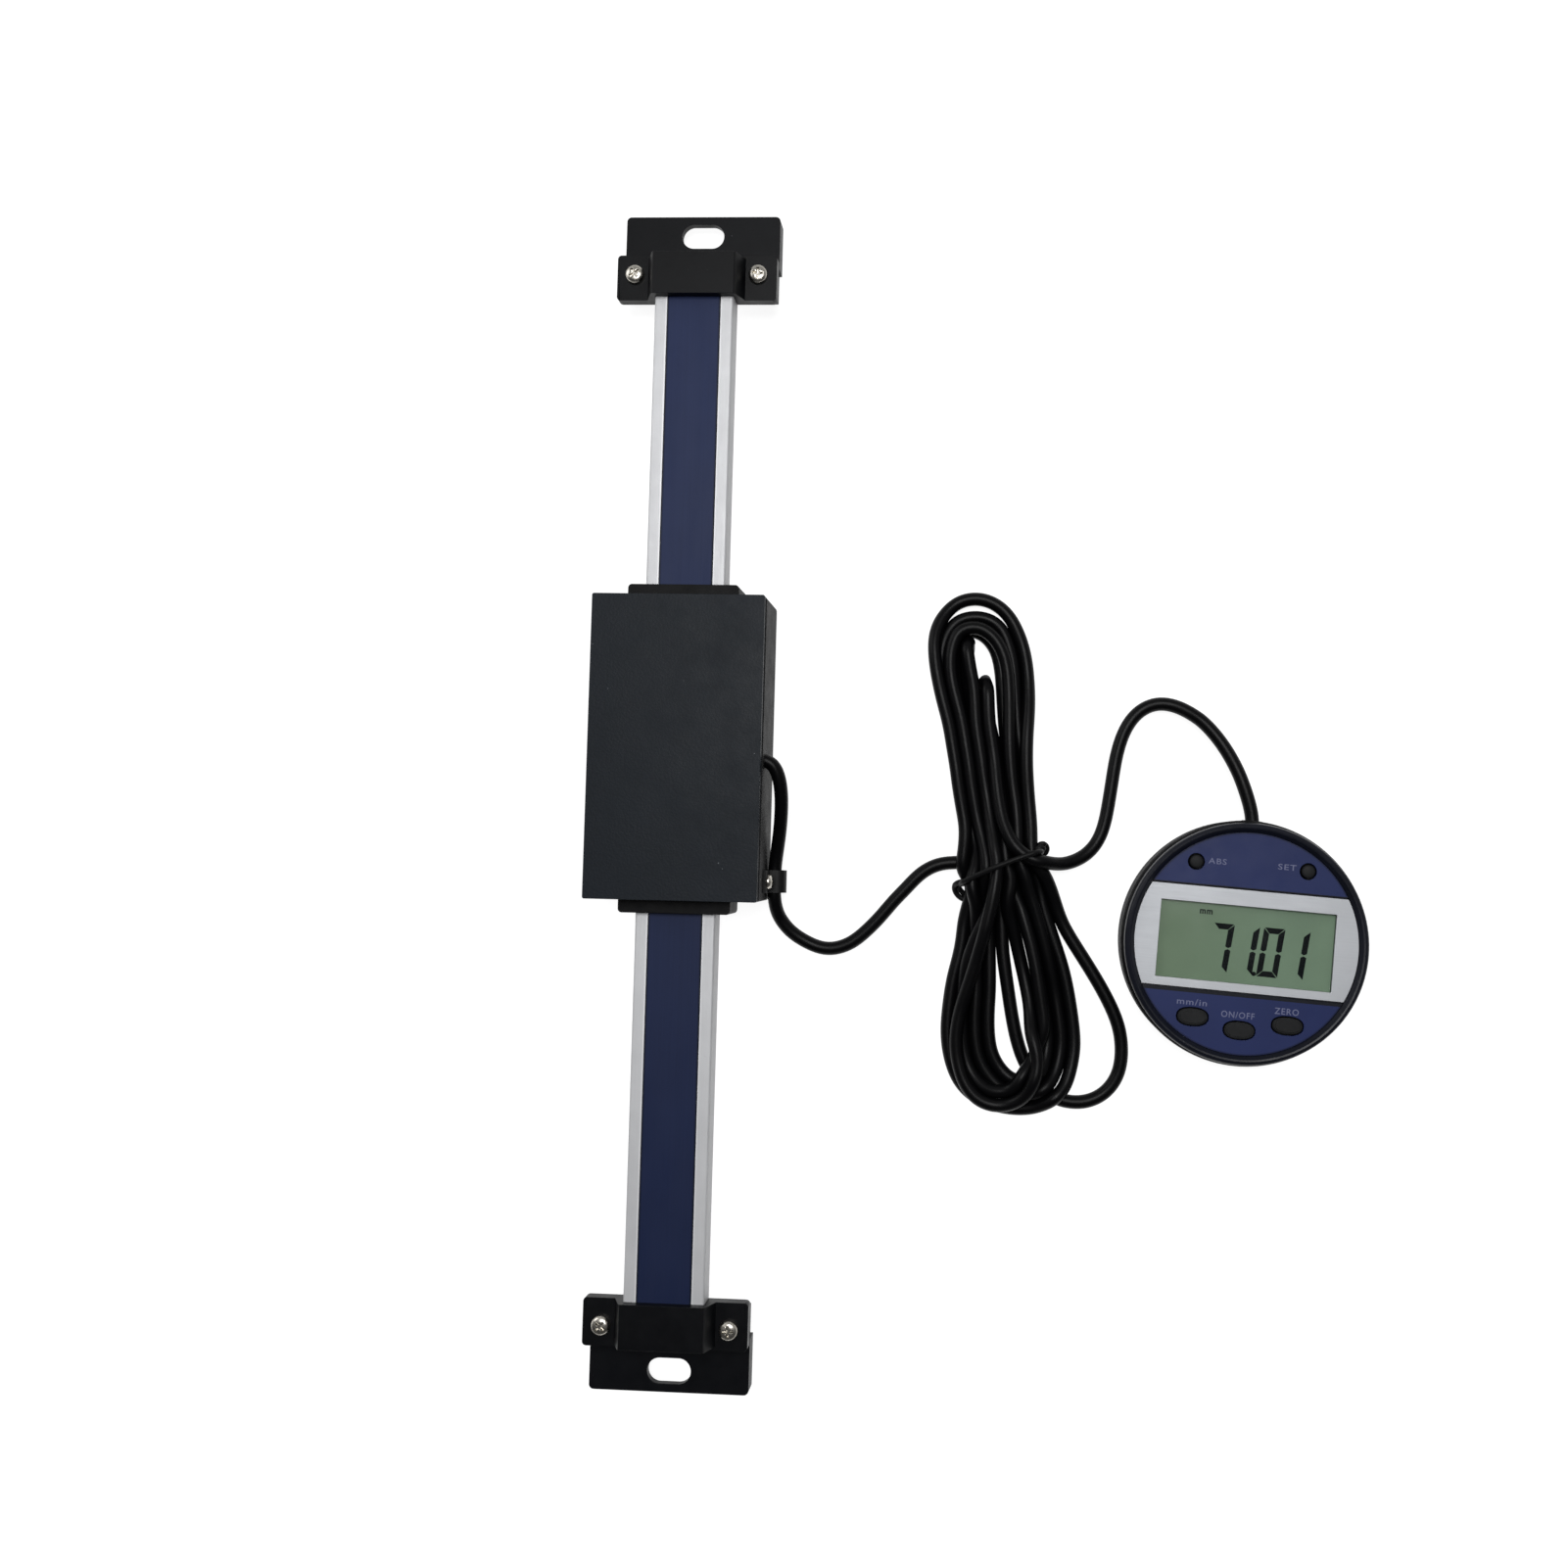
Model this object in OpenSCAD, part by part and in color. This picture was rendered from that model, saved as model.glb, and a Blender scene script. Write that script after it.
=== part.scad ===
// Linear scale with an aluminium beam, a sliding read head and a round
// display on a cable. The beam lies along Y, the faces look up along Z,
// and the beam slides through the head. Millimetres.

/* [Beam] */
// Width of the aluminium beam
beam_w = 20; // [18:0.5:22]
// Thickness of the aluminium beam
beam_t = 6.4; // [6:0.1:6.8]
// Height of the beam's underside above the mounting surface
beam_z = 7; // [7:0.1:7.2]
// Clear length of beam between the two end straps
free_len = 250; // [200:10:800]
// Width of the blue scale strip let into the beam
strip_w = 13.3; // [10:0.1:14]

/* [End brackets] */
// Width of the strap over both ears
strap_w = 41; // [39:0.5:46]
// Length of the strap along the beam
strap_len = 11.7; // [11:0.1:14]
// Thickness of the strap's ears
ear_t = 3; // [2.4:0.1:3.4]
// Width of the slotted tab
tab_w = 40.2; // [38:0.2:46]
// Length of the slotted tab
tab_len = 12.8; // [12:0.1:16]
// Height of the slotted tab
tab_h = 5; // [4:0.1:6]
// Width of the fixing slot
slot_w = 6.3; // [5:0.1:7]
// End-to-end length of the fixing slot
slot_len = 11; // [8:0.1:16]
// Distance from the tab's outer end to the slot's centre line
slot_in = 5.2; // [5:0.1:6]
// Sideways distance of a strap screw from the beam's centre line
screw_x = 15.8; // [15.5:0.1:16.5]

/* [Read head] */
// Width of the head's cover
cover_w = 42.7; // [42.2:0.1:43]
// Length of the head along the beam
head_len = 74.8; // [74:0.1:80]
// Width of the head's lower shell
head_w = 43.2; // [43:0.1:44]
// Height of the head's underside above the mounting surface
head_z = 3; // [2.8:0.1:3]
// Height of the head's face above the mounting surface
head_top = 20.8; // [20.6:0.1:22]
// Place of the head's centre along the beam
head_y = 10.5; // [0:0.5:20]
// Width of a wiper collar
collar_w = 27.9; // [26:0.1:30]
// How far a wiper collar stands out of the head
collar_out = 3.4; // [3:0.1:4]

/* [Display] */
// Diameter of the display housing
disp_d = 60; // [60:0.5:62]
// Sideways distance of the display from the beam
disp_x = 139.8; // [139:0.1:160]
// Place of the display along the beam
disp_y = -34.3; // [-60:0.1:0]
// Angle that the display is turned by
disp_turn = -4; // [-4:0.5:0]
// Length of the readout window
win_l = 42.3; // [40:0.1:43]
// Height of the readout window
win_h = 18.8; // [16:0.1:19]
// Travel of a button
button_travel = 0.5; // [0.3:0.1:0.5]

/* [Cable] */
// Diameter of the cable
cord_d = 3.4; // [3:0.1:3.4]

/* [Hidden] */

half = free_len / 2;                 // strap's inner end
base_end = half + strap_len;         // strap's outer end
end_y = base_end + tab_len;          // tab's outer end
seat_z = beam_z + 1;                 // top of the base under the ears
beam_top = beam_z + beam_t;
beam_half = half + strap_len - 1.7;
ear_z = seat_z + ear_t;              // top of the ears
bridge_z = beam_top + 2.2;           // top of the strap's bridge
left_x = -head_w / 2;
right_x = disp_x + disp_d / 2;
shift_x = -(left_x + right_x) / 2;   // the origin is under the middle of the whole
seam_z = head_top - 2;               // joint between head shell and cover
cord_r = cord_d / 2;
board_z = beam_top + 0.5;            // underside of the sensor board

// Route of the lead from the head to the hank
route_head = [
  [20.2, 8, 15.2], [21.6, 7.95, 15.2], [23, 7.4, 15.15], [24.2, 6, 14.9],
  [25.05, 3.6, 14.3], [25.5, 0.2, 13.2], [25.45, -4, 11.8], [25, -8.5, 9.9],
  [24.35, -12.6, 8.2], [23.75, -16, 6.9], [23.4, -18.7, 6.25], [23.36, -22, 6.2],
  [23.36, -25.1, 6.2], [23.6, -28.1, 5.1], [24.4, -31.5, 3.3], [26.6, -34.5, 2.05],
  [30.2, -36.8, 1.75], [33.6, -38.5, 1.75], [36.9, -39.2, 1.75],
  [40, -38.7, 1.75], [43, -37.2, 1.75], [46.6, -34, 1.75],
  [50.2, -30.2, 1.75], [53.4, -26.5, 1.75], [56.4, -23.2, 1.75],
  [59.4, -20.2, 1.8], [62, -18.2, 2.1], [64.4, -17, 2.5]
];
// Route of the lead from the hank to the display
route_display = [
  [99.8, -15, 1.8], [102, -13.6, 1.75], [104.3, -10.7, 1.75],
  [105.9, -6.6, 1.75], [106.8, -1.7, 1.75], [107.7, 4.5, 1.75],
  [108.8, 12, 1.75], [110.6, 18.2, 1.75], [113.4, 22.5, 1.8],
  [116.4, 24.7, 1.9], [119.7, 25.4, 2.1], [124.5, 24.1, 2.7],
  [129.3, 20.9, 3.5], [134, 15.5, 4.5], [138, 8.6, 5.4],
  [140.7, 3.4, 5.9], [141.9, -0.5, 6], [141.93, -3.87, 6], [141.8, -5.6, 6]
];
// Circles round the hank: x, y, radius
hank_ends = [[73.2, 39.9, 12.9], [81.8, -63, 16], [99, -61.8, 14]];
hank_h = 9.4;
tie_at = [80, -17.4];
tie_turn = 23;

module place() { translate([shift_x, 0, 0]) children(); }
module at_head() { place() translate([0, head_y, 0]) children(); }
module at_display() {
  place() translate([disp_x, disp_y, 0]) rotate([0, 0, disp_turn]) children();
}
module box(x0, x1, y0, y1, z0, z1) {
  translate([x0, y0, z0]) cube([x1 - x0, y1 - y0, z1 - z0]);
}
module disc(x, y, r, z0, z1, n = 48) {
  translate([x, y, z0]) cylinder(r = r, h = z1 - z0, $fn = n);
}
// Slab with rounded vertical corners, centred in plan
module slab(w, l, r, z0, z1) {
  union() {
    box(-w / 2 + r, w / 2 - r, -l / 2, l / 2, z0, z1);
    box(-w / 2, w / 2, -l / 2 + r, l / 2 - r, z0, z1);
    for (sx = [-1, 1]) for (sy = [-1, 1])
      disc(sx * (w / 2 - r), sy * (l / 2 - r), r, z0, z1, 32);
  }
}
// Straight slot with round ends along X
module slot(x, y, l, w, z0, z1) {
  box(x - (l - w) / 2, x + (l - w) / 2, y - w / 2, y + w / 2, z0, z1);
  for (s = [-1, 1]) disc(x + s * (l - w) / 2, y, w / 2, z0, z1, 48);
}
// Profile in X and Z, drawn along Y
module along_y(y0, y1) {
  translate([0, y1, 0]) rotate([90, 0, 0]) linear_extrude(y1 - y0) children();
}
// Domed pan head, standing on z = 0
module pan_head(r, h) {
  rotate_extrude($fn = 48) polygon([
    [0, 0], [r, 0], [r, h * 0.4], [r * 0.94, h * 0.65], [r * 0.78, h * 0.85],
    [r * 0.5, h * 0.97], [0, h]
  ]);
}
// Cross recess for a screwdriver, cut down from z = 0
module cross_recess(w, t, depth) {
  for (a = [0, 90]) rotate([0, 0, a])
    box(-w / 2, w / 2, -t / 2, t / 2, -depth, depth);
}
module pan_screw(r_head, h_head, r_shaft, l_shaft) {
  difference() {
    union() {
      pan_head(r_head, h_head);
      translate([0, 0, -l_shaft]) cylinder(r = r_shaft, h = l_shaft + 0.05, $fn = 32);
    }
    translate([0, 0, h_head]) rotate([0, 0, 20])
      cross_recess(r_head * 1.15, r_head * 0.28, h_head * 0.6);
  }
}

// ---------- beam, end brackets: all move together ----------

module beam_extrusion() {
  w = beam_w / 2; s = (strip_w + 0.3) / 2; c = 0.35;
  color([0.76, 0.77, 0.79]) place() along_y(-beam_half, beam_half) polygon([
    [-w + c, beam_z], [-5, beam_z], [-4.2, beam_z + 1.3], [4.2, beam_z + 1.3],
    [5, beam_z], [w - c, beam_z], [w, beam_z + c], [w, beam_top - c],
    [w - c, beam_top], [s, beam_top], [s, beam_top - 1.5],
    [-s, beam_top - 1.5], [-s, beam_top], [-w + c, beam_top],
    [-w, beam_top - c], [-w, beam_z + c]
  ]);
}
module scale_board() {
  color([0.15, 0.35, 0.2]) place()
    box(-strip_w / 2, strip_w / 2, -beam_half, beam_half, beam_top - 1.5, beam_top - 0.3);
}
module scale_overlay() {
  color([0.13, 0.17, 0.34]) place()
    box(-strip_w / 2, strip_w / 2, -beam_half, beam_half, beam_top - 0.3, beam_top - 0.08);
}

// Lower half of an end bracket, for the +Y end
module end_base() {
  difference() {
    union() {
      // tab, with small round corners at its outer end
      box(-tab_w / 2, tab_w / 2, base_end - 1, end_y - 1.2, 0, tab_h);
      box(-tab_w / 2 + 1.2, tab_w / 2 - 1.2, base_end - 1, end_y, 0, tab_h);
      for (s = [-1, 1]) disc(s * (tab_w / 2 - 1.2), end_y - 1.2, 1.2, 0, tab_h, 32);
      // seat under the beam and the ears
      box(-tab_w / 2 + 0.7, tab_w / 2 - 0.7, half + 3.4, base_end, 0, seat_z);
    }
    // channel for the beam, closed by the seat's end wall
    box(-beam_w / 2 - 0.05, beam_w / 2 + 0.05, half, beam_half + 0.05, beam_z, seat_z + 1);
    // hollow under the tab, open at its outer end, leaves a plate and two side skirts
    box(-tab_w / 2 + 2.2, tab_w / 2 - 2.2, base_end + 2.4, end_y + 1, -1, tab_h - 2);
    slot(0, end_y - slot_in, slot_len, slot_w, -1, tab_h + 1);
    for (s = [-1, 1]) disc(s * screw_x, half + 6.5, 2.1, 2.5, seat_z + 1);
  }
}
// Upper half: two ears and a bridge with sloping sides over the beam
module end_strap() {
  b = beam_w / 2;
  y1 = base_end;
  difference() {
    union() {
      box(-strap_w / 2, strap_w / 2, half + 1, y1 - 1, seat_z, ear_z);
      box(-strap_w / 2 + 1, strap_w / 2 - 1, half, y1, seat_z, ear_z);
      for (sx = [-1, 1]) for (sy = [half + 1, y1 - 1])
        disc(sx * (strap_w / 2 - 1), sy, 1, seat_z, ear_z, 32);
      // bridge
      along_y(half, y1 - 0.9) polygon([
        [-b - 2.5, seat_z], [-b - 2.5, ear_z], [-b - 0.8, bridge_z - 0.5],
        [-b - 0.3, bridge_z], [b + 0.3, bridge_z], [b + 0.8, bridge_z - 0.5],
        [b + 2.5, ear_z], [b + 2.5, seat_z]
      ]);
      // sloping end of the bridge
      translate([-b - 0.3, 0, 0]) rotate([90, 0, 90]) linear_extrude(beam_w + 0.6)
        polygon([
          [y1 - 1.6, seat_z + 1], [y1, seat_z + 1], [y1, ear_z],
          [y1 - 0.9, bridge_z - 0.8], [y1 - 1.3, bridge_z], [y1 - 1.6, bridge_z]
        ]);
    }
    box(-b - 0.05, b + 0.05, half - 1, beam_half + 0.05, seat_z - 1, beam_top);
    for (s = [-1, 1]) disc(s * screw_x, half + 6.5, 1.65, seat_z - 1, ear_z + 1);
  }
}
module bottom_end() { mirror([0, 1, 0]) children(); }
module end_base_top() { color([0.07, 0.07, 0.08]) place() end_base(); }
module end_base_bottom() { color([0.07, 0.07, 0.08]) place() bottom_end() end_base(); }
module end_strap_top() { color([0.05, 0.05, 0.06]) place() end_strap(); }
module end_strap_bottom() { color([0.05, 0.05, 0.06]) place() bottom_end() end_strap(); }
module strap_screws() {
  color([0.8, 0.8, 0.78]) place() for (sx = [-1, 1]) for (sy = [-1, 1])
    translate([sx * screw_x, sy * (half + 6.5), ear_z])
      rotate([0, 0, 25 * sx + 40 * sy]) pan_screw(2.4, 1.7, 1.23, 8);
}
// Brass threaded inserts that the strap screws bite in
module strap_inserts() {
  color([0.75, 0.6, 0.3]) place() for (sx = [-1, 1]) for (sy = [-1, 1])
    difference() {
      disc(sx * screw_x, sy * (half + 6.5), 2.1, 2.5, seat_z - 0.1);
      disc(sx * screw_x, sy * (half + 6.5), 1.25, 1, seat_z + 1);
    }
}

// ---------- read head ----------

hw = head_w / 2;
hl = head_len / 2;
post_x = 16.4;
post_y = hl - 5;
insert_x = 16.5;
insert_y = 20;
exit_y = 8 - head_y;
exit_z = 15.2;
clip_y = -22 - head_y;

module head_base() {
  color([0.06, 0.065, 0.075]) at_head() difference() {
    union() {
      difference() {
        slab(head_w, head_len, 1, head_z, seam_z);
        box(-hw + 2, hw - 2, -hl + 2, hl - 2, head_z + 2.2, seam_z + 1);
      }
      for (sx = [-1, 1]) for (sy = [-1, 1]) {
        disc(sx * post_x, sy * post_y, 3, head_z + 2, 12);
        disc(sx * insert_x, sy * insert_y, 3.2, head_z + 2, 10);
      }
    }
    // way for the beam through both end walls
    box(-beam_w / 2 - 0.5, beam_w / 2 + 0.5, -hl - 1, hl + 1, beam_z - 0.5, beam_top + 0.5);
    for (sx = [-1, 1]) for (sy = [-1, 1]) {
      disc(sx * post_x, sy * post_y, 2.2, head_z - 1, head_z + 1.9);
      disc(sx * post_x, sy * post_y, 1.2, head_z, 13);
      disc(sx * insert_x, sy * insert_y, 2.2, head_z - 1, head_z + 6);
    }
    // hole for the cable's grommet
    translate([hw - 3, exit_y, exit_z]) rotate([0, 90, 0]) cylinder(r = 2.6, h = 4, $fn = 48);
    // pilot hole for the clip's screw
    translate([19, clip_y, 11.4]) rotate([0, 90, 0]) cylinder(r = 1, h = 4, $fn = 32);
  }
}
module head_cover() {
  color([0.07, 0.075, 0.085]) at_head() difference() {
    union() {
      slab(cover_w, head_len, 0.5, seam_z, head_top);
      difference() {
        slab(head_w - 4.3, head_len - 4.3, 1, seam_z - 1.2, seam_z + 0.1);
        slab(head_w - 7, head_len - 7, 1, seam_z - 2, seam_z + 1);
      }
      for (sx = [-1, 1]) for (sy = [-1, 1])
        disc(sx * post_x, sy * post_y, 2.6, 12, seam_z + 0.1);
    }
    for (sx = [-1, 1]) for (sy = [-1, 1])
      disc(sx * post_x, sy * post_y, 1, 11, seam_z - 0.4);
    // room for the grommet's flange
    box(hw - 6, hw + 1, exit_y - 3.4, exit_y + 3.4, exit_z - 4, seam_z - 0.05);
  }
}
// Collar round the beam at an end of the head, for the +Y end
module wiper_collar() {
  difference() {
    union() {
      translate([0, hl + collar_out / 2, 0])
        slab(collar_w, collar_out, 1, beam_z - 2, beam_top + 2);
      box(-collar_w / 2, collar_w / 2, hl, hl + 1.5, beam_z - 2, beam_top + 2);
    }
    box(-beam_w / 2 - 0.3, beam_w / 2 + 0.3, hl - 1, hl + 8, beam_z - 0.3, beam_top + 0.3);
    box(-beam_w / 2 - 1.3, beam_w / 2 + 1.3, hl - 1, hl + 2, beam_z - 1.2, beam_top + 1.2);
  }
}
module wiper_collar_top() { color([0.06, 0.06, 0.07]) at_head() wiper_collar(); }
module wiper_collar_bottom() { color([0.06, 0.06, 0.07]) at_head() bottom_end() wiper_collar(); }
module wiper_felt() {
  difference() {
    box(-beam_w / 2 - 1.2, beam_w / 2 + 1.2, hl + 0.1, hl + 1.9, beam_z - 1.1, beam_top + 1.1);
    box(-beam_w / 2 - 0.15, beam_w / 2 + 0.15, hl - 1, hl + 3, beam_z - 0.15, beam_top + 0.15);
  }
}
module wiper_felt_top() { color([0.3, 0.3, 0.3]) at_head() wiper_felt(); }
module wiper_felt_bottom() { color([0.3, 0.3, 0.3]) at_head() bottom_end() wiper_felt(); }

// Metal channel that runs on the beam and carries the sensor board
module carriage() {
  color([0.6, 0.6, 0.62]) at_head() difference() {
    box(-13, 13, -30, 30, head_z + 2.2, board_z);
    box(-beam_w / 2 - 0.15, beam_w / 2 + 1.35, -31, 31, beam_z - 0.15, board_z + 1);
    for (sx = [-1, 1]) for (sy = [-1, 1]) disc(sx * 6, sy * 22, 2.5, head_z + 3, beam_z);
    for (sy = [-18, 0, 18]) translate([10, sy, beam_z + beam_t / 2]) rotate([0, 90, 0])
      cylinder(r = 1, h = 4, $fn = 32);
    for (sx = [-11.8, 12.15]) for (sy = [-1, 1]) disc(sx, sy * 27, 0.5, board_z - 4, board_z + 1, 24);
  }
}
module gib_strip() {
  color([0.78, 0.62, 0.3]) at_head()
    box(beam_w / 2 + 0.12, beam_w / 2 + 1.25, -29, 29, beam_z + 0.3, beam_top - 0.2);
}
module gib_screws() {
  color([0.35, 0.35, 0.37]) at_head() for (sy = [-18, 0, 18])
    translate([beam_w / 2 + 1.3, sy, beam_z + beam_t / 2]) rotate([0, 90, 0]) difference() {
      cylinder(r = 0.98, h = 1.9, $fn = 32);
      translate([0, 0, 1.1]) cylinder(r = 0.5, h = 2, $fn = 6);
    }
}
module glide_pads() {
  color([0.93, 0.93, 0.9]) at_head() for (sx = [-1, 1]) for (sy = [-1, 1])
    disc(sx * 6, sy * 22, 2.45, head_z + 3.05, beam_z - 0.08);
}
module sensor_board() {
  color([0.1, 0.35, 0.2]) at_head() difference() {
    box(-17.2, 17.2, -29.5, 29.5, board_z, board_z + 1.2);
    for (sx = [-11.8, 12.15]) for (sy = [-27, 27])
      disc(sx, sy, 0.7, board_z - 1, board_z + 2, 24);
  }
}
module sensor_chips() {
  z = board_z + 1.2;
  color([0.12, 0.12, 0.12]) at_head() {
    box(-6, 6, -5, 7, z, z + 1.2);
    box(-12, -8, 12, 17, z, z + 1);
    box(9, 15.6, -9, -1, z, z + 1.8);
    for (i = [0:3]) box(2 + 3 * i, 3.6 + 3 * i, 14, 15, z, z + 0.8);
  }
}
module board_screws() {
  color([0.75, 0.75, 0.73]) at_head() for (sx = [-11.8, 12.15]) for (sy = [-27, 27])
    translate([sx, sy, board_z + 1.2]) pan_screw(1.2, 0.9, 0.48, 4);
}
module cover_screws() {
  color([0.6, 0.6, 0.6]) at_head() for (sx = [-1, 1]) for (sy = [-1, 1])
    translate([sx * post_x, sy * post_y, head_z + 1.85]) rotate([180, 0, 0])
      pan_screw(1.95, 1.5, 0.97, 12.5);
}
module mounting_inserts() {
  color([0.78, 0.62, 0.3]) at_head() for (sx = [-1, 1]) for (sy = [-1, 1]) difference() {
    disc(sx * insert_x, sy * insert_y, 2.2, head_z, head_z + 6);
    disc(sx * insert_x, sy * insert_y, 1.25, head_z - 1, head_z + 7);
  }
}
// Rubber grommet in the head's side wall
module cable_grommet() {
  color([0.04, 0.04, 0.04]) at_head() translate([hw - 2.9, exit_y, exit_z]) rotate([0, 90, 0])
    difference() {
      union() {
        cylinder(r = 2.6, h = 2.9, $fn = 48);
        cylinder(r = 3.3, h = 0.85, $fn = 48);
      }
      translate([0, 0, -1]) cylinder(r = 1.2, h = 5, $fn = 32);
    }
}
// Clip that holds the cable against the head's side wall
module cable_clip() {
  x0 = hw + 0.02; cz = 6.2;
  color([0.05, 0.05, 0.05]) at_head() difference() {
    union() {
      translate([hw + 2.42, clip_y + 2.8, cz]) rotate([90, 0, 0]) cylinder(r = 2.4, h = 5.6, $fn = 48);
      box(x0, x0 + 0.8, clip_y - 2.8, clip_y + 2.8, cz + 1, 13.6);
      box(x0, x0 + 2.4, clip_y - 2.8, clip_y + 2.8, cz + 1.78, cz + 2.4);
      box(x0, x0 + 2.4, clip_y - 2.8, clip_y + 2.8, cz - 2.4, cz - 1.78);
    }
    // room for the cable, which lies against the wall
    hull() for (cx = [hw + 1.76, hw + 2.3])
      translate([cx, clip_y + 4, cz]) rotate([90, 0, 0]) cylinder(r = 1.76, h = 8, $fn = 32);
    box(hw - 1, hw + 1.76, clip_y - 4, clip_y + 4, cz - 1.76, cz + 1.76);
    translate([x0 - 1, clip_y, 11.4]) rotate([0, 90, 0]) cylinder(r = 1.15, h = 5, $fn = 32);
  }
}

module clip_screw() {
  color([0.8, 0.8, 0.78]) at_head() translate([hw + 0.85, clip_y, 11.4]) rotate([0, 90, 0])
    pan_screw(1.8, 1.2, 0.97, 2.9);
}

// ---------- round display ----------

dr = disp_d / 2;
face_z = 11.1;
posts = [for (a = [35.5, 144.5, 215.5, 324.5]) [25.3 * cos(a), 25.3 * sin(a)]];
round_at = [[-13.5, 18.8], [13.5, 18.8]];
oval_at = [[-11.4, -18.8], [0, -21], [11.4, -18.8]];
band_lo = -12.2;
band_hi = 13.2;
win_y = -0.4;
// Half-size points of an oval, flatter than a circle along its sides
function oval(a, b, n = 32) = [for (i = [0:n - 1]) let (t = 360 * i / n)
  [a * sign(cos(t)) * pow(abs(cos(t)), 0.85), b * sign(sin(t)) * pow(abs(sin(t)), 0.85)]];
module oval_post(p, a, b, z0, z1) {
  translate([p[0], p[1], z0]) linear_extrude(z1 - z0) polygon(oval(a, b));
}

module display_back() {
  color([0.06, 0.06, 0.06]) at_display() difference() {
    union() {
      difference() {
        rotate_extrude($fn = 128) polygon([
          [0, 0.4], [19, 0.4], [19, 0], [28.2, 0], [29.2, 0.4], [dr, 1.6],
          [dr, 8.6], [dr - 0.35, 9.2], [0, 9.2]
        ]);
        disc(0, 0, 28.2, 1.8, 10, 128);
      }
      for (p = posts) disc(p[0], p[1], 2.1, 1.5, 5.4);
      disc(0, -2, 12.6, 1.5, 4.9, 64);
      for (s = [-1, 1]) disc(s * 19.6, 5.5, 6, 1.5, 3.6);
    }
    for (p = posts) {
      disc(p[0], p[1], 1.75, -1, 1.5);
      disc(p[0], p[1], 1.05, 0, 6);
    }
    disc(0, -2, 11.2, -1, 1.75, 64);
    disc(0, -2, 10.3, -1, 6, 64);
    for (s = [-1, 1]) disc(s * 19.6, 5.5, 5.05, -1, 2.9);
    // hole for the cable's bush
    translate([0, dr - 4, 6]) rotate([-90, 0, 0]) cylinder(r = 2.5, h = 6, $fn = 48);
  }
}
module display_front() {
  color([0.03, 0.03, 0.035]) at_display() difference() {
    union() {
      union() {
        rotate_extrude($fn = 128) polygon([
          [26.6, 7.8], [28.1, 7.8], [28.1, 9.2], [dr - 0.6, 9.2], [dr - 0.6, 11.2],
          [dr - 0.75, 11.8], [dr - 1.1, 12.2], [dr - 1.7, 12.4], [dr - 2.1, 12.3],
          [27.1, 11.3], [27.1, 10], [26.6, 10]
        ]);
      }
      disc(0, 0, 27, 9, 10, 128);
      for (p = posts) disc(p[0], p[1], 2.1, 5.5, 9.1);
    }
    for (p = posts) disc(p[0], p[1], 0.95, 5, 9.2);
    box(-win_l / 2 - 2.1, win_l / 2 + 2.1, win_y - win_h / 2 - 1.8, win_y + win_h / 2 + 1.8, 8, 11);
    for (p = round_at) disc(p[0], p[1], 2.1, 8, 11);
    for (p = oval_at) oval_post(p, 4, 2.4, 8, 11);
    translate([0, dr - 5, 6]) rotate([-90, 0, 0]) cylinder(r = 2.7, h = 6, $fn = 48);
  }
}
// Blue face, thin behind the silver band
module face_panel() {
  color([0.14, 0.18, 0.4]) at_display() difference() {
    disc(0, 0, 27.04, 10.05, face_z, 128);
    box(-30, 30, band_lo, band_hi, 10.6, 12);
    box(-win_l / 2, win_l / 2, win_y - win_h / 2, win_y + win_h / 2, 9, 12);
    for (p = round_at) disc(p[0], p[1], 2.05, 9, 12);
    for (p = oval_at) oval_post(p, 3.95, 2.35, 9, 12);
  }
}
module window_band() {
  color([0.75, 0.76, 0.78]) at_display() difference() {
    intersection() {
      disc(0, 0, 26.98, 10.62, face_z + 0.12, 128);
      box(-30, 30, band_lo + 0.35, band_hi - 0.25, 10, 12);
    }
    box(-win_l / 2, win_l / 2, win_y - win_h / 2, win_y + win_h / 2, 9, 12);
  }
}
module lcd_window() {
  color([0.6, 0.7, 0.6, 0.35]) at_display()
    box(-win_l / 2 + 0.06, win_l / 2 - 0.06, win_y - win_h / 2 + 0.06, win_y + win_h / 2 - 0.06, 9.95, 10.5);
}
module lcd_glass() {
  color([0.42, 0.49, 0.39]) at_display()
    box(-win_l / 2 - 1.9, win_l / 2 + 1.9, win_y - win_h / 2 - 1.6, win_y + win_h / 2 + 1.6, 8.05, 9.9);
}
module contact_strips() {
  color([0.8, 0.55, 0.6]) at_display() for (s = [-1, 1])
    box(-21, 21, win_y + s * (win_h / 2 + 0.4) - 0.8, win_y + s * (win_h / 2 + 0.4) + 0.8, 6.75, 8);
}
module display_board() {
  color([0.1, 0.35, 0.2]) at_display() difference() {
    disc(0, 0, 27.4, 5.55, 6.75, 96);
    for (p = posts) disc(p[0], p[1], 2.4, 5, 8);
    box(-4, 4, 24.6, 30, 5, 8);
  }
}
module tact_switches() {
  color([0.5, 0.5, 0.5]) at_display() for (p = concat(round_at, oval_at))
    disc(p[0], p[1], 1.5, 6.75, 7.3, 24);
}
module battery() {
  color([0.8, 0.8, 0.82]) at_display() translate([0, -2, 0]) rotate_extrude($fn = 64)
    polygon([[0, 1.85], [8.6, 1.85], [8.6, 2.1], [10, 2.4], [10, 5.05], [0, 5.05]]);
}
module battery_contact() {
  color([0.8, 0.75, 0.5]) at_display() difference() {
    disc(0, -2, 6, 5.12, 5.5, 48);
    disc(0, -2, 4.4, 5, 6, 48);
  }
}
module battery_cover() {
  color([0.08, 0.08, 0.08]) at_display() difference() {
    disc(0, -2, 11.1, 0.45, 1.7, 64);
    slot(0, -2, 11, 1.6, 0, 1.1);
  }
}
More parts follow.
